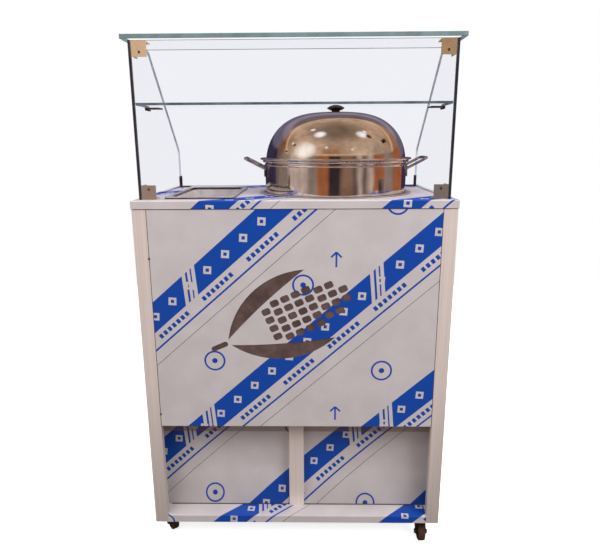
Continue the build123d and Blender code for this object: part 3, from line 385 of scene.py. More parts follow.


# Pressed food pan and the collar round the pot; their edge colour paints shadow lines along the rims
panFinish = {
    "tint": "#F2EEED",
    "smear": "#DDD6D6",
    "edge": "#4A4146",
    "smudge": 30.0,          # mm
    "roughness": (0.14, 0.26),
    "metallic": 0.6,
}
collarFinish = {
    "tint": "#BDB2AE",
    "smear": "#A69A96",
    "edge": "#4E4446",
    "smudge": 30.0,
    "roughness": (0.26, 0.4),
    "metallic": 0.4,
}
pressedLevel = 979.0         # mm; above it, steep faces are rims and folds that are painted as dark shadow lines
pressedSteep = 0.5           # upward share of a steep face's normal, at most


def pressedStainless(name, look):
    # Stainless steel, deep drawn and lightly polished: bright and cloudy, with painted shadow lines along its
    # rims and folds
    material, tree, shader = startMaterial(name, {"Metallic": look["metallic"]})
    place = addNode(tree, "TexCoord").outputs["Object"]
    scale = 1 / (look["smudge"] * mm)
    smudge = addNode(tree, "TexNoise", {"Vector": place, "Scale": scale, "Detail": 4.0}).outputs["Fac"]
    tint = addNode(tree, "ValToRGB", {"Fac": smudge}, toneStops(look["smear"], look["tint"])).outputs["Color"]
    facing = addNode(tree, "NewGeometry").outputs["Normal"]
    upward = addNode(tree, "SeparateXYZ", {"Vector": facing}).outputs["Z"]
    steep = addNode(tree, "Math", {0: upward, 1: 0.0, 2: pressedSteep}, operation="COMPARE").outputs[0]
    level = addNode(tree, "SeparateXYZ", {"Vector": place}).outputs["Z"]
    raised = addNode(tree, "Math", {0: level, 1: pressedLevel * mm}, operation="GREATER_THAN").outputs[0]
    foldShadow = addNode(tree, "Math", {0: steep, 1: raised}, operation="MULTIPLY").outputs[0]
    shadowLined = addNode(
        tree, "MixRGB", {"Fac": foldShadow, "Color1": tint, "Color2": linear(look["edge"])}
    ).outputs["Color"]
    low, high = look["roughness"]
    gloss = addNode(tree, "MapRange", {"Value": smudge, "To Min": low, "To Max": high}).outputs["Result"]
    plug(tree, shader, {"Base Color": shadowLined, "Roughness": gloss})
    return material


# Small parts: base colour, speck colour, metallic, roughness range, grain in mm and relief
smallParts = {
    # upper clamps: warm, soft shine; the right one is browner, a darker copy that paints shade
    "satinBrass": ("#E4CFB2", "#D3B896", 0.08, (0.28, 0.42), 1.5, 0.08),
    "shadedBrass": ("#C2A582", "#A98B69", 0.08, (0.34, 0.48), 1.5, 0.08),
    # lower clamps: grey, soft shine; the right one is darker, a copy that paints shade
    "satinSteel": ("#C0AA9C", "#A89284", 0.12, (0.28, 0.42), 1.5, 0.08),
    "shadedSteel": ("#9E9088", "#877970", 0.12, (0.34, 0.48), 1.5, 0.08),
    # screws, pins, clips and rear clamps: dull grey gleam
    "zincPlate": ("#6E6A69", "#4C4948", 1.0, (0.3, 0.45), 1.2, 0.1),
    # knobs and the controls' housings: deep black, wet gloss
    "phenolic": ("#15120F", "#1E1A17", 0.0, (0.16, 0.28), 2.5, 0.04),
    # hot plate: grainy black
    "castIron": ("#232120", "#161514", 0.2, (0.55, 0.75), 1.5, 0.35),
    # caster forks and plates: stoved paint
    "blackEnamel": ("#17151A", "#242127", 0.0, (0.3, 0.45), 2.0, 0.12),
    # wheels: dark brown, scuffed
    "mouldedNylon": ("#4A3228", "#33221B", 0.0, (0.4, 0.56), 2.5, 0.1),
    # sheet behind the stencil: brown gloss; its dark brown is painted shade of the recess behind the cut-outs
    "shadeBrownSheet": ("#75605C", "#5D4A46", 0.3, (0.14, 0.24), 30.0, 0.02),
    # joint lines: matt, dark; in the joints between the sheets they are painted shadow
    "sealantAndShadowLines": ("#4A3A33", "#2E2420", 0.0, (0.5, 0.7), 1.5, 0.1),
    # scale on the panel: dull print
    "screenInk": ("#2A2A30", "#1C1C22", 0.0, (0.45, 0.6), 1.0, 0.05),
    # arrows on the film: blue print
    "filmInk": ("#0A4FB8", "#063F9C", 0.0, (0.36, 0.5), 2.0, 0.03),
    # pointer on the dial: filled groove
    "whitePaint": ("#EFEAE2", "#DAD4CA", 0.0, (0.4, 0.5), 1.0, 0.05),
}
grainDepth = 0.2    # mm


def grainedMaterial(name):
    base, speck, metallic, (low, high), grain, strength = smallParts[name]
    material, tree, shader = startMaterial(name, {"Metallic": metallic})
    place = addNode(tree, "TexCoord").outputs["Object"]
    height = addNode(
        tree, "TexNoise", {"Vector": place, "Scale": 1 / (grain * mm), "Detail": 4.0}
    ).outputs["Fac"]
    tint = addNode(tree, "ValToRGB", {"Fac": height}, toneStops(speck, base)).outputs["Color"]
    gloss = addNode(tree, "MapRange", {"Value": height, "To Min": low, "To Max": high}).outputs["Result"]
    relief = addNode(
        tree, "Bump", {"Height": height, "Strength": strength, "Distance": grainDepth * mm}
    ).outputs["Normal"]
    plug(tree, shader, {"Base Color": tint, "Roughness": gloss, "Normal": relief})
    return material


# Red key and lamp of the controls
redPlastic = {
    "base": "#B3160F",
    "deep": "#7E0D09",
    "mark": "#F2ECE6",
    "cloud": 6.0,            # mm
    "markShift": 5.0,        # mm from the key's middle, the bar up and the ring down
    "ring": (2.3, 0.45),     # mm, radius and half of the stroke
    "bar": (0.52, 2.6),      # mm, half of its width and height
}


def clearPolycarbonate(name, marked):
    # Polycarbonate, moulded and tinted red: glossy, with a white bar and ring printed on the key
    values = {"Roughness": 0.18, "Coat Weight": 0.4, "Coat Roughness": 0.08}
    material, tree, shader = startMaterial(name, values)
    place = addNode(tree, "TexCoord").outputs["Object"]
    cloud = addNode(tree, "TexNoise", {"Vector": place, "Scale": 1 / (redPlastic["cloud"] * mm)}).outputs["Fac"]
    stops = toneStops(redPlastic["deep"], redPlastic["base"], wideSpread)
    colour = addNode(tree, "ValToRGB", {"Fac": cloud}, stops).outputs["Color"]
    if marked:
        low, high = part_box("switch_rocker")
        centre = (low + high) / 2
        shift = redPlastic["markShift"] * mm
        ringCentre = Vector((centre.x, 0.0, centre.z - shift))
        barCentre = Vector((centre.x, 0.0, centre.z + shift))
        flat = addNode(
            tree, "VectorMath", {0: place, 1: (1.0, 0.0, 1.0)}, operation="MULTIPLY"
        ).outputs["Vector"]
        away = addNode(tree, "VectorMath", {0: flat, 1: ringCentre}, operation="DISTANCE").outputs["Value"]
        radius, stroke = redPlastic["ring"]
        ring = addNode(tree, "Math", {0: away, 1: radius * mm, 2: stroke * mm}, operation="COMPARE").outputs[0]
        toBar = addNode(tree, "VectorMath", {0: flat, 1: barCentre}, operation="SUBTRACT").outputs["Vector"]
        sides = addNode(tree, "SeparateXYZ", {"Vector": toBar}).outputs
        width, height = redPlastic["bar"]
        inX = addNode(tree, "Math", {0: sides["X"], 1: 0.0, 2: width * mm}, operation="COMPARE").outputs[0]
        inZ = addNode(tree, "Math", {0: sides["Z"], 1: 0.0, 2: height * mm}, operation="COMPARE").outputs[0]
        bar = addNode(tree, "Math", {0: inX, 1: inZ}, operation="MULTIPLY").outputs[0]
        mark = addNode(tree, "Math", {0: ring, 1: bar}, operation="MAXIMUM").outputs[0]
        colour = addNode(
            tree, "MixRGB", {"Fac": mark, "Color1": colour, "Color2": linear(redPlastic["mark"])}
        ).outputs["Color"]
    plug(tree, shader, {"Base Color": colour})
    return material


steel = brushedStainless("brushedStainless", False)
sideSteel = brushedStainless("brushedStainlessSides", True)
for node, sheet in filmedSheets.items():
    dress(filmedStainless(*sheet), node)
mirror = spunStainless("spunStainless", potFinish)
finish = {name: grainedMaterial(name) for name in smallParts}
dress(sideSteel, "side_panel_left", "side_panel_right")
dress(steel, "base_channels", "niche_post", "mid_shelf", "control_panel")
dress(steel, "door_left", "door_right", "heater_tray", "heater_hangers")
dress(mirror, "pot_body", "lid_dome")
dress(spunStainless("drawnStainless", handleFinish), "pot_handle_left", "pot_handle_right")
dress(pressedStainless("pressedStainlessPan", panFinish), "gn_pan")
dress(pressedStainless("pressedStainlessCollar", collarFinish), "pot_collar")
dress(finish["satinBrass"], "corner_clamp_top_left")
dress(finish["shadedBrass"], "corner_clamp_top_right")
dress(finish["satinSteel"], "corner_clamp_bottom_left")
dress(finish["shadedSteel"], "corner_clamp_bottom_right")
for node in nodes:
    if any(part in node for part in ("screw", "bolts", "pins", "axle", "rear_clamp", "clips")):
        dress(finish["zincPlate"], node)
    if "caster_fork" in node or node == "caster_plates":
        dress(finish["blackEnamel"], node)
    if "caster_wheel" in node:
        dress(finish["mouldedNylon"], node)
dress(finish["phenolic"], "lid_knob", "thermostat_body", "thermostat_knob", "switch_frame", "power_inlet")
dress(finish["castIron"], "heater_plate")
dress(finish["shadeBrownSheet"], "fascia_backing")
dress(clearPolycarbonate("redPolycarbonateKey", True), "switch_rocker")
dress(clearPolycarbonate("redPolycarbonateLamp", False), "pilot_lamp")
print("materials:", len(bpy.data.materials))


# Glass guard: thin axis of each pane, tint and shine of its faces, light and dark colour of its cut edge
panes = {
    "roof_glass": (2, "#FDFDFE", 0.02, "#788C90", "#677A7E"),
    "front_glass": (1, "#F0F1F6", 0.1, "#6C8487", "#55696E"),
    "side_glass_left": (0, "#FDFDFE", 0.02, "#2C2D36", "#1A1A20"),
    "side_glass_right": (0, "#FDFDFE", 0.02, "#2C2D36", "#1A1A20"),
    "shelf_glass": (2, "#FDFDFE", 0.02, "#7C8A92", "#5A6771"),
}
glassLook = {
    "ior": 1.0,              # thin panes: what is behind them stays in its place
    "edgeGrain": 40.0,       # mm
    "face": 0.9,             # share of a normal along the thin axis, from which it is a pane's face
    "rear": 0.1,             # share of a normal to the rear, from which it is a rear edge
}


def floatGlass(name, tint, shine):
    # Float glass, cut and arrised: clear on its faces, the front one with a touch of lavender
    values = {
        "Base Color": linear(tint),
        "Roughness": 0.0,
        "IOR": glassLook["ior"],
        "Transmission Weight": 1.0,
        "Coat Weight": shine,    # faint, less on panes that are seen at a slant
    }
    return startMaterial(name, values)[0]


def glassEdge(name, light, dark):
    # The cut edge of the same glass: light that travels along the pane leaves it green grey and dark
    material, tree, shader = startMaterial(name, {"Roughness": 0.18, "Coat Weight": 0.3})
    place = addNode(tree, "TexCoord").outputs["Object"]
    scale = 1 / (glassLook["edgeGrain"] * mm)
    drift = addNode(tree, "TexNoise", {"Vector": place, "Scale": scale, "Detail": 2.0}).outputs["Fac"]
    tint = addNode(tree, "ValToRGB", {"Fac": drift}, toneStops(dark, light)).outputs["Color"]
    plug(tree, shader, {"Base Color": tint})
    return material


# The side panes' rear edges, seen through the glass, are pale
rearEdge = glassEdge("rearEdge", "#C4C7D0", "#A9ADB8")
for node, (thin, tint, shine, light, dark) in panes.items():
    shape = bmesh.new()
    shape.from_mesh(nodes[node].data)
    for face in shape.faces:
        if abs(face.normal[thin]) > glassLook["face"]:
            face.material_index = 0
        elif face.normal.y > glassLook["rear"]:
            face.material_index = 2 if thin == 0 else 0
        else:
            face.material_index = 1
    looks = (floatGlass(node + "Float", tint, shine), glassEdge(node + "Edge", light, dark), rearEdge)
    pane = addPiece(node + "_pane", shape, "cabinet", "glass", *looks)
    pane.visible_shadow = False
    pane.visible_glossy = False
    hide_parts(node)
print("glass:", len(panes), "panes")


# The lid's dome, flatter across its crown than up its shoulder, in mm over the pot's rim
lidForm = {
    "radius": 195.0,
    "height": 127.0,
    "wall": 1.2,
    "crownFlatness": 3.2,
    "shoulderFullness": 1.8,
    "hole": 3.0,             # for the knob's screw
    "flange": (209.0, 2.0),  # radius and thickness
    "bead": 2.5,
    "beadTurn": (-90.0, 280.0),    # degrees, start and sweep
    "lip": (189.0, 3.0),     # radius and drop
    "rim": 1071.0,           # above the floor
    "curveSteps": 48,
    "beadSteps": 12,
    "turnSteps": 160,
    "sharp": 40.0,           # degrees between faces, above which an edge stays sharp
}


def domeCurve(radius, height):
    # a superellipse from the hole in the crown down to the flange's top
    points = []
    for step in range(lidForm["curveSteps"] + 1):
        turn = pi / 2 * step / lidForm["curveSteps"]
        across = radius * cos(turn) ** (2 / lidForm["crownFlatness"])
        level = height * sin(turn) ** (2 / lidForm["shoulderFullness"])
        if level > lidForm["flange"][1] and across > lidForm["hole"]:
            points.append((across, level))
    return [(lidForm["hole"], height)] + points[::-1] + [(radius, lidForm["flange"][1])]


def addLid():
    flange, thick = lidForm["flange"]
    lip, drop = lidForm["lip"]
    wall, bead = lidForm["wall"], lidForm["bead"]
    outer = domeCurve(lidForm["radius"], lidForm["height"])
    inner = domeCurve(lidForm["radius"] - wall, lidForm["height"] - wall)
    outline = inner + [(lip, thick), (lip, -drop), (lip + wall, -drop), (lip + wall, 0.0)]
    start, sweep = lidForm["beadTurn"]
    for step in range(lidForm["beadSteps"] + 1):
        turn = radians(start + sweep * step / lidForm["beadSteps"])
        outline.append((flange + bead * cos(turn), bead + bead * sin(turn)))
    outline += outer[::-1]
    low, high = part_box("lid_dome")
    middle = (low + high) / 2
    shape = bmesh.new()
    rings = []
    for step in range(lidForm["turnSteps"]):
        turn = 2 * pi * step / lidForm["turnSteps"]
        ring = []
        for across, level in outline:
            x = middle.x + across * mm * cos(turn)
            y = middle.y + across * mm * sin(turn)
            ring.append(shape.verts.new((x, y, (lidForm["rim"] + level) * mm)))
        rings.append(ring)
    for step, ring in enumerate(rings):
        beside = rings[(step + 1) % len(rings)]
        for index in range(len(outline)):
            after = (index + 1) % len(outline)
            face = shape.faces.new((ring[index], beside[index], beside[after], ring[after]))
            face.smooth = True
    lid = addSolid("lidSpun", shape, "lid", "polished_steel", mirror)
    lid.data.set_sharp_from_angle(angle=radians(lidForm["sharp"]))
    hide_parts("lid_dome")


# Clips under the glass shelf, cut off a little below it
clipDrop = 7.0    # mm


def addShelfClips():
    shape = bmesh.new()
    shape.from_mesh(nodes["shelf_clips"].data)
    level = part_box("shelf_glass")[0].z - clipDrop * mm
    geometry = shape.verts[:] + shape.edges[:] + shape.faces[:]
    bmesh.ops.bisect_plane(
        shape, geom=geometry, plane_co=(0.0, 0.0, level), plane_no=(0.0, 0.0, 1.0), clear_inner=True
    )
    bmesh.ops.holes_fill(shape, edges=shape.edges[:])
    clips = addSolid("shelfClipsShort", shape, "cabinet", "clamp_steel", finish["zincPlate"])
    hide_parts("shelf_clips")


addLid()
addShelfClips()
print("lid and clips: made to the photograph's outline")


def addPrism(shape, outline, front, back):
    # a flat outline in x and z, in mm, drawn out from front to back
    near = [shape.verts.new((x * mm, front * mm, z * mm)) for x, z in outline]
    far = [shape.verts.new((x * mm, back * mm, z * mm)) for x, z in outline]
    shape.faces.new(near)
    shape.faces.new(far[::-1])
    for index in range(len(outline)):
        after = (index + 1) % len(outline)
        shape.faces.new((near[after], near[index], far[index], far[after]))


def addStroke(shape, start, end, width, front, back):
    # a straight bar from start to end
    begin, stop = Vector(start), Vector(end)
    side = (stop - begin).normalized().orthogonal() * width / 2
    addPrism(shape, [begin - side, stop - side, stop + side, begin + side], front, back)


# Painted shadow lines in the joints where the sheets meet, and the arris along the roof's rear edge, in mm
joints = {
    "sheetFront": -258.5,
    "postX": 363.5,
    "postLine": (376.0, 959.8, 1.9),    # foot, top and width of the painted shadow lines along the corner posts
    "postDepth": (0.1, 1.6),            # behind the sheet's front
    "apronLine": (958.5, 960.0, 395.0),    # foot, top and half of the length of the painted shadow line under the apron
    "apronDepth": (-0.7, 0.1),
    "coveFootShade": (-210.1, -209.0, 97.0, 99.4),    # y and z of the painted shadow line where the cove meets the tray
    "nichePost": 21.5,                  # half of the niche post's room
    "arris": (1.2, 0.9),                # height and depth
}


def addBlock(shape, left, right, low, high, front, back):
    addPrism(shape, [(left, low), (right, low), (right, high), (left, high)], front, back)


def addJoints():
    shape = bmesh.new()
    post, sheet = joints["postX"], joints["sheetFront"]
    low, high, width = joints["postLine"]
    front, back = joints["postDepth"]
    for side in (-1, 1):
        addBlock(shape, side * (post - width), side * post, low, high, sheet + front, sheet + back)
    low, high, half = joints["apronLine"]
    front, back = joints["apronDepth"]
    addBlock(shape, -half, half, low, high, sheet + front, sheet + back)
    front, back, low, high = joints["coveFootShade"]
    for side in (-1, 1):
        addBlock(shape, side * joints["nichePost"], side * post, low, high, front, back)
    addSolid("paintedShadowJoints", shape, "cabinet", "sheet_steel", finish["sealantAndShadowLines"])
    low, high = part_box("roof_glass")
    shape = bmesh.new()
    under, half, rear = low.z / mm, high.x / mm, high.y / mm
    height, depth = joints["arris"]
    addBlock(shape, -half, half, under, under + height, rear - depth, rear)
    addSolid("roofRearArris", shape, "cabinet", "glass", glassEdge("groundArris", "#4A5058", "#353A42"))


# Marks on the film: two arrows, and two tacks in the left joint
filmMarks = {
    "arrows": ((104.0, 814.0), (105.0, 395.0)),     # x and z of the foot, mm
    "arrowHeight": 38.0,
    "arrowHead": 13.0,
    "stroke": 4.6,
    "tacks": ((-363.0, 836.0), (-362.0, 410.0)),
    "tack": (2.6, 3.38),     # mm, half of its width and height
    "tackSides": 14,
    "depth": (-0.15, 0.05),  # mm behind the sheet's front
    "headLift": 0.05,        # mm that an arrow's head and a tack stand before that
    "tackLift": 0.3,
}


def addFilmMarks():
    front, back = (joints["sheetFront"] + depth for depth in filmMarks["depth"])
    stroke, head = filmMarks["stroke"], filmMarks["arrowHead"]
    shape = bmesh.new()
    for x, foot in filmMarks["arrows"]:
        tip = foot + filmMarks["arrowHeight"]
        addStroke(shape, (x, foot), (x, tip), stroke, front, back)
        for side in (-1, 1):
            start = (x + side * head, tip - head)
            addStroke(shape, start, (x, tip), stroke, front - filmMarks["headLift"], back)
    addSolid("filmArrows", shape, "cabinet", "film_steel", finish["filmInk"])
    shape = bmesh.new()
    sides = filmMarks["tackSides"]
    turns = [2 * pi * step / sides for step in range(sides)]
    width, height = filmMarks["tack"]
    for x, level in filmMarks["tacks"]:
        outline = [(x + width * cos(turn), level + height * sin(turn)) for turn in turns]
        addPrism(shape, outline, front - filmMarks["tackLift"], back)
    addSolid("jointTacks", shape, "cabinet", "sheet_steel", finish["sealantAndShadowLines"])


# Printed scale round the thermostat and the pointer on its dial
dialScale = {
    "ticks": 11,
    "sweep": 270.0,          # degrees
    "inner": 23.0,           # mm
    "outer": 27.5,
    "longEach": 5,           # ticks from one long tick to the next
    "longer": 2.0,
    "stroke": 1.0,
    "panelRear": 236.5,
    "depth": (-0.1, 0.15),   # mm behind the panel's rear face
    "pointer": (5.0, 16.5, 1.4),     # mm from the middle to its two ends, and width
    "pointerDepth": (-0.2, 0.15),
}


def addDialScale():
    low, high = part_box("thermostat_knob")
    middle = (low + high) / 2 / mm
    front, back = (dialScale["panelRear"] + depth for depth in dialScale["depth"])
    inner = dialScale["inner"]
    shape = bmesh.new()
    for tick in range(dialScale["ticks"]):
        turn = radians(dialScale["sweep"] * tick / (dialScale["ticks"] - 1))
        outer = dialScale["outer"] + (0.0 if tick % dialScale["longEach"] else dialScale["longer"])
        start = (middle.x + inner * sin(turn), middle.z + inner * cos(turn))
        end = (middle.x + outer * sin(turn), middle.z + outer * cos(turn))
        addStroke(shape, start, end, dialScale["stroke"], front, back)
    addSolid("thermostatScale", shape, "cabinet", "black_plastic", finish["screenInk"])
    shape = bmesh.new()
    foot, tip, width = dialScale["pointer"]
    front, back = (high.y / mm + depth for depth in dialScale["pointerDepth"])
    addStroke(shape, (middle.x, middle.z + foot), (middle.x, middle.z + tip), width, front, back)
    addSolid("dialPointer", shape, "thermostat_dial", "black_plastic", finish["whitePaint"])


addJoints()
addFilmMarks()
addDialScale()
print("details: joints, film marks and dial scale")

# Camera at the photograph's place
camera = {
    "place": (34.26, -1543.78, 1109.70),    # mm
    "pitch": 13.6301,                       # degrees down
    "yaw": -0.9267,
    "roll": -0.2968,
    "lens": 31.737,
    "sensor": 36.0,
    "clipStart": 0.05,                      # m
}


def addCamera():
    pitch, yaw, roll = (radians(camera[key]) for key in ("pitch", "yaw", "roll"))
    forward = Vector((sin(yaw) * cos(pitch), cos(yaw) * cos(pitch), -sin(pitch)))
    right = Vector((cos(yaw), -sin(yaw), 0.0))
    up = right.cross(forward)
    across = right * cos(roll) + up * sin(roll)
    upright = up * cos(roll) - right * sin(roll)
    data = bpy.data.cameras.new("camera")
    data.lens = camera["lens"]
    data.sensor_width = camera["sensor"]
    data.sensor_fit = "HORIZONTAL"
    data.clip_start = camera["clipStart"]
    body = bpy.data.objects.new("camera", data)
    turn = Matrix((across, upright, -forward)).transposed().to_4x4()
    body.matrix_world = Matrix.Translation(Vector(camera["place"]) * mm) @ turn
    bpy.context.scene.collection.objects.link(body)
    bpy.context.scene.camera = body


addCamera()

# Studio: white surround, and a warm room that only reflections see
studio = {
    "surround": 0.4,            # strength of the white surround as a light
    "roomStrength": 1.4,
    "waver": 0.03,              # turns that the walls' upright edges wander, as in a hand-spun mirror
    "waverGrain": (5.0, 5.0, 40.0),
    "floorSize": 5.2,           # m
    "floor": "#FBFAFA",
    "floorGlow": 0.75,
    "roomFloorEnd": 0.6,        # m behind the object's middle, where the room's brown floor ends
    "ceiling": "#C9A98F",
    "ceilingFar": "#A98A72",
    "ground": "#70655F",
    "seam": "#D6B08A",
    "lampHeight": (0.2, 0.26),              # heights, as a share of the look's length: where lamplight begins
    "railEdge": (0.262, 0.28, 0.3, 0.325),  # a lit rail on the walls
    "railAhead": (0.35, 0.8),               # how far ahead the rail begins and is full
    "ceilingHeight": (0.45, 0.75),
    "groundHeight": (-0.3, -0.6),
    "mottleGrain": 7.0,
    "mottle": (0.82, 1.15),                 # light of the walls' darkest and lightest parts
    "behindClimb": (0.15, 0.0, 1.0),        # direction in which the bands behind the object follow each other
    "behindLean": (-0.14, 1.0, 0.0),        # facing of that dark part
    "behindEdge": (0.52, 0.555),
    "seamLean": (-0.136, 1.0, -0.668),      # facing of the lit edge before it
    "seamEdge": (0.45, 0.48, 0.486, 0.515),
}
# A dark part overhead, a lit doorway, lamps and spots: bearing, lift, core and halo in degrees, colour
glows = {
    "overhead": (0.0, 76.0, 12.0, 38.0, "#766150"),
    "doorway": (-56.0, 23.5, 9.0, 20.0, "#FFF6EA"),
    "lampLeft": (-48.4, 62.6, 3.0, 9.0, "#FFFFFF"),
    "lampRight": (67.8, 56.0, 3.0, 9.0, "#FFFFFF"),
    "spotUpperLeft": (-89.4, 65.8, 1.5, 3.6, "#FFFFFF"),
    "spotUpperRight": (85.3, 57.9, 1.2, 3.0, "#FFFFFF"),
    "spotLeft": (-87.8, 32.7, 1.0, 2.6, "#FFF4E0"),
    "spotMiddle": (-18.6, 34.1, 1.0, 2.6, "#FFF4E0"),
    "spotRight": (27.0, 28.5, 0.8, 2.0, "#FFF4E0"),
}
# The surfaces of the mirrored room
surfaces = {
    "night": "#322A42", "slate": "#645D70", "lilac": "#887D8A", "mauve": "#685E62",
    "dusk": "#40394F", "shade": "#5C4A48", "stone": "#86766B", "plaster": "#BCA798",
    "timber": "#985A39", "umber": "#80604F", "gap": "#2F2427",
    "brick": "#764E37", "lamplit": "#DEC5A8", "loam": "#946C50", "sand": "#BCA388", "clay": "#A48E75",
}
# Its bands: the dark part behind by height, then doors, gaps and pale walls low down and lamplit
# walls above, both by bearing from the front in degrees
behindBands = ((0.0, 0.11, "night"), (0.18, 0.36, "slate"), (0.45, 0.55, "lilac"), (0.62, 0.7, "mauve"))
lowBands = (
    (-180, -160, "dusk"), (-135, -112, "shade"), (-96, -86, "stone"), (-76, -56, "plaster"),
    (-44, -34, "stone"), (-28, -15, "timber"), (-11, 3, "gap"), (9, 22, "umber"),
    (28, 29, "shade"), (36, 37, "plaster"), (44, 45, "shade"), (55, 56, "plaster"),
    (63, 78, "timber"), (84, 99, "stone"), (105, 130, "timber"), (160, 180, "dusk"),
)
highBands = (
    (-180, -170, "dusk"), (-130, -104, "brick"), (-68, -48, "lamplit"), (-18, -4, "loam"),
    (30, 52, "sand"), (70, 90, "clay"), (115, 130, "loam"), (170, 180, "dusk"),
)


def surfaceStops(bands, scale=1.0, offset=0.0):
    return [(edge * scale + offset, linear(surfaces[surface])) for *edges, surface in bands for edge in edges]


def addWorld():
    world = bpy.data.worlds.new("studio")
    bpy.context.scene.world = world
    world.use_nodes = True
    tree = world.node_tree
    tree.nodes.clear()
    look = addNode(tree, "TexCoord").outputs["Generated"]
    axes = addNode(tree, "SeparateXYZ", {"Vector": look}).outputs
    rise = axes["Z"]
    front = addNode(tree, "Math", {0: axes["Y"], 1: -1.0}, operation="MULTIPLY").outputs[0]
    bearing = addNode(tree, "Math", {0: axes["X"], 1: front}, operation="ARCTAN2").outputs[0]
    straight = addNode(
        tree, "Math", {0: bearing, 1: 1 / (2 * pi), 2: 0.5 - studio["waver"] / 2}, operation="MULTIPLY_ADD"
    ).outputs[0]
    grain = addNode(
        tree, "VectorMath", {0: look, 1: studio["waverGrain"]}, operation="MULTIPLY"
    ).outputs["Vector"]
    wander = addNode(tree, "TexNoise", {"Vector": grain, "Scale": 1.0, "Detail": 3.0}).outputs["Fac"]
    turn = addNode(
        tree, "Math", {0: wander, 1: studio["waver"], 2: straight}, operation="MULTIPLY_ADD"
    ).outputs[0]
    lowStops, highStops = (surfaceStops(bands, 1 / 360, 0.5) for bands in (lowBands, highBands))
    wallsLow = addNode(tree, "ValToRGB", {"Fac": turn}, lowStops).outputs["Color"]
    wallsHigh = addNode(tree, "ValToRGB", {"Fac": turn}, highStops).outputs["Color"]
    start, full = studio["lampHeight"]
    climb = addNode(tree, "MapRange", {"Value": rise, "From Min": start, "From Max": full}).outputs["Result"]
    plainWalls = addNode(
        tree, "MixRGB", {"Fac": climb, "Color1": wallsLow, "Color2": wallsHigh}
    ).outputs["Color"]
    railAll = addNode(tree, "ValToRGB", {"Fac": rise}, stripeStops(*studio["railEdge"])).outputs["Color"]
    start, full = studio["railAhead"]
    ahead = addNode(tree, "MapRange", {"Value": front, "From Min": start, "From Max": full}).outputs["Result"]
    rail = addNode(tree, "Math", {0: railAll, 1: ahead}, operation="MULTIPLY").outputs[0]
    walls = addNode(
        tree, "MixRGB", {"Fac": rail, "Color1": plainWalls, "Color2": linear(studio["seam"])}
    ).outputs["Color"]
    mottle = addNode(
        tree, "TexNoise", {"Vector": look, "Scale": studio["mottleGrain"], "Detail": 5.0}
    ).outputs["Fac"]
    low, high = wideSpread
    dark, light = studio["mottle"]
    shade = addNode(tree, "MapRange", {
        "Value": mottle, "From Min": low, "From Max": high, "To Min": dark, "To Max": light,
    }).outputs["Result"]
    uneven = addNode(tree, "VectorMath", {0: walls, "Scale": shade}, operation="SCALE").outputs["Vector"]
    start, full = studio["ceilingHeight"]
    high = addNode(tree, "MapRange", {"Value": rise, "From Min": start, "From Max": full}).outputs["Result"]
    ceilingStops = toneStops(studio["ceilingFar"], studio["ceiling"], wideSpread)
    ceiling = addNode(tree, "ValToRGB", {"Fac": mottle}, ceilingStops).outputs["Color"]
    upper = addNode(tree, "MixRGB", {"Fac": high, "Color1": uneven, "Color2": ceiling}).outputs["Color"]
    start, full = studio["groundHeight"]
    deep = addNode(tree, "MapRange", {"Value": rise, "From Min": start, "From Max": full}).outputs["Result"]
    lower = addNode(
        tree, "MixRGB", {"Fac": deep, "Color1": upper, "Color2": linear(studio["ground"])}
    ).outputs["Color"]
    behindPlace, leaning, slanting = (
        addNode(tree, "VectorMath", {0: look, 1: studio[key]}, operation="DOT_PRODUCT").outputs["Value"]
        for key in ("behindClimb", "behindLean", "seamLean")
    )
    behind = addNode(tree, "ValToRGB", {"Fac": behindPlace}, surfaceStops(behindBands)).outputs["Color"]
    start, end = studio["behindEdge"]
    edge = addNode(tree, "MapRange", {"Value": leaning, "From Min": start, "From Max": end}).outputs["Result"]
    seamPlace = addNode(tree, "Math", {0: slanting, 1: 0.5, 2: 0.5}, operation="MULTIPLY_ADD").outputs[0]
    seamStops = stripeStops(*studio["seamEdge"])
    seamAll = addNode(tree, "ValToRGB", {"Fac": seamPlace}, seamStops).outputs["Color"]
    seam = addNode(tree, "Math", {0: seamAll, 1: climb}, operation="MULTIPLY").outputs[0]
    seamed = addNode(
        tree, "MixRGB", {"Fac": seam, "Color1": lower, "Color2": linear(studio["seam"])}
    ).outputs["Color"]
    room = addNode(tree, "MixRGB", {"Fac": edge, "Color1": seamed, "Color2": behind}).outputs["Color"]
    for side, lift, core, halo, code in glows.values():
        side, lift = radians(side), radians(lift)
        toGlow = (sin(side) * cos(lift), -cos(side) * cos(lift), sin(lift))
        nearness = addNode(tree, "VectorMath", {0: look, 1: toGlow}, operation="DOT_PRODUCT").outputs["Value"]
        glow = addNode(tree, "MapRange", {
            "Value": nearness, "From Min": cos(radians(halo)), "From Max": cos(radians(core)),
        }).outputs["Result"]
        room = addNode(tree, "MixRGB", {"Fac": glow, "Color1": room, "Color2": linear(code)}).outputs["Color"]
    path = addNode(tree, "LightPath")
    dim = addNode(
        tree, "Math", {0: path.outputs["Is Diffuse Ray"], 1: studio["surround"] - 1.0, 2: 1.0},
        operation="MULTIPLY_ADD",
    ).outputs[0]
    plain = addNode(tree, "Background", {"Color": white, "Strength": dim}).outputs[0]
    warm = addNode(tree, "Background", {"Color": room, "Strength": studio["roomStrength"]}).outputs[0]
    mirrored = addNode(
        tree, "Math", {0: path.outputs["Glossy Depth"], 1: 0.5}, operation="GREATER_THAN"
    ).outputs[0]
    both = addNode(tree, "MixShader", {0: mirrored, 1: plain, 2: warm}).outputs[0]
    addNode(tree, "OutputWorld", {"Surface": both})


addWorld()

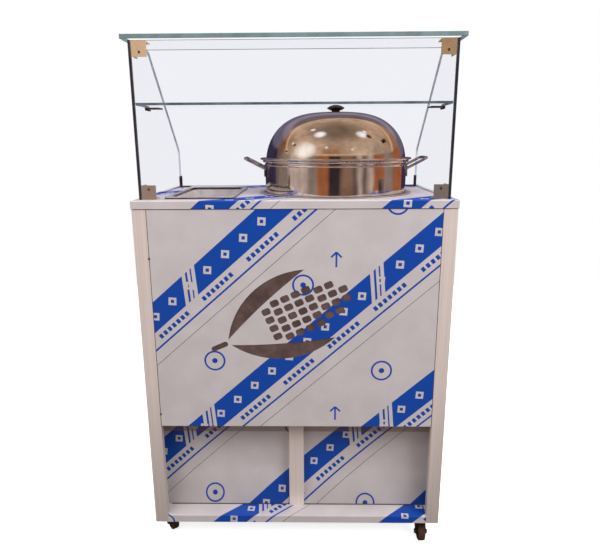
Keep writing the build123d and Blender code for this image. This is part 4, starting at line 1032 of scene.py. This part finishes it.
# Soft boxes, not seen in reflections: place and size in m, power in W
lights = {
    "softboxLeft": {"place": (-1.9, -2.4, 3.1), "size": (2.2, 1.8), "power": 48.0},
    "softboxRight": {"place": (2.1, -2.2, 3.1), "size": (2.2, 1.8), "power": 90.0},
    "softboxTop": {"place": (0.0, -0.5, 3.4), "size": (2.6, 2.2), "power": 46.0},
}
target = Vector((0.0, 0.0, 0.75))    # m, about the middle of the object
for name, soft in lights.items():
    data = bpy.data.lights.new(name, "AREA")
    data.shape = "RECTANGLE"
    data.size, data.size_y = soft["size"]
    data.energy = soft["power"]
    lamp = bpy.data.objects.new(name, data)
    lamp.location = soft["place"]
    lamp.rotation_euler = (target - lamp.location).to_track_quat("-Z", "Y").to_euler()
    lamp.visible_camera = False
    lamp.visible_glossy = False
    lamp.visible_transmission = False
    bpy.context.scene.collection.objects.link(lamp)


def addFloor():
    shape = bmesh.new()
    bmesh.ops.create_grid(shape, x_segments=1, y_segments=1, size=studio["floorSize"] / 2)
    mesh = bpy.data.meshes.new("floor")
    shape.to_mesh(mesh)
    shape.free()
    floor = bpy.data.objects.new("floor", mesh)
    bpy.context.scene.collection.objects.link(floor)
    values = {"Emission Color": white, "Roughness": 0.9, "Specular IOR Level": 0.0}
    material, tree, shader = startMaterial("studioFloor", values)
    path = addNode(tree, "LightPath")
    # white to the eye, brown to light that the object gets back from it
    back = addNode(tree, "SeparateXYZ", {"Vector": addNode(tree, "TexCoord").outputs["Object"]}).outputs["Y"]
    near = addNode(tree, "Math", {0: back, 1: studio["roomFloorEnd"]}, operation="LESS_THAN").outputs[0]
    bounced = addNode(
        tree, "Math", {0: path.outputs["Glossy Depth"], 1: path.outputs["Diffuse Depth"]}, operation="ADD"
    ).outputs[0]
    unseen = addNode(tree, "Math", {0: bounced, 1: 0.5}, operation="GREATER_THAN").outputs[0]
    brown = addNode(tree, "Math", {0: unseen, 1: near}, operation="MULTIPLY").outputs[0]
    tint = addNode(
        tree, "MixRGB", {"Fac": brown, "Color1": linear(studio["floor"]), "Color2": linear(studio["ground"])}
    ).outputs["Color"]
    glow = addNode(
        tree, "Math", {0: brown, 1: -studio["floorGlow"], 2: studio["floorGlow"]}, operation="MULTIPLY_ADD"
    ).outputs[0]
    plug(tree, shader, {"Base Color": tint, "Emission Strength": glow})
    material.cycles.emission_sampling = "NONE"
    mesh.materials.append(material)


addFloor()
bpy.context.scene.view_settings.view_transform = "Standard"
bpy.context.scene.view_settings.look = "None"
print("studio: camera, world,", len(lights), "lights and floor")

bpy.context.view_layer.update()
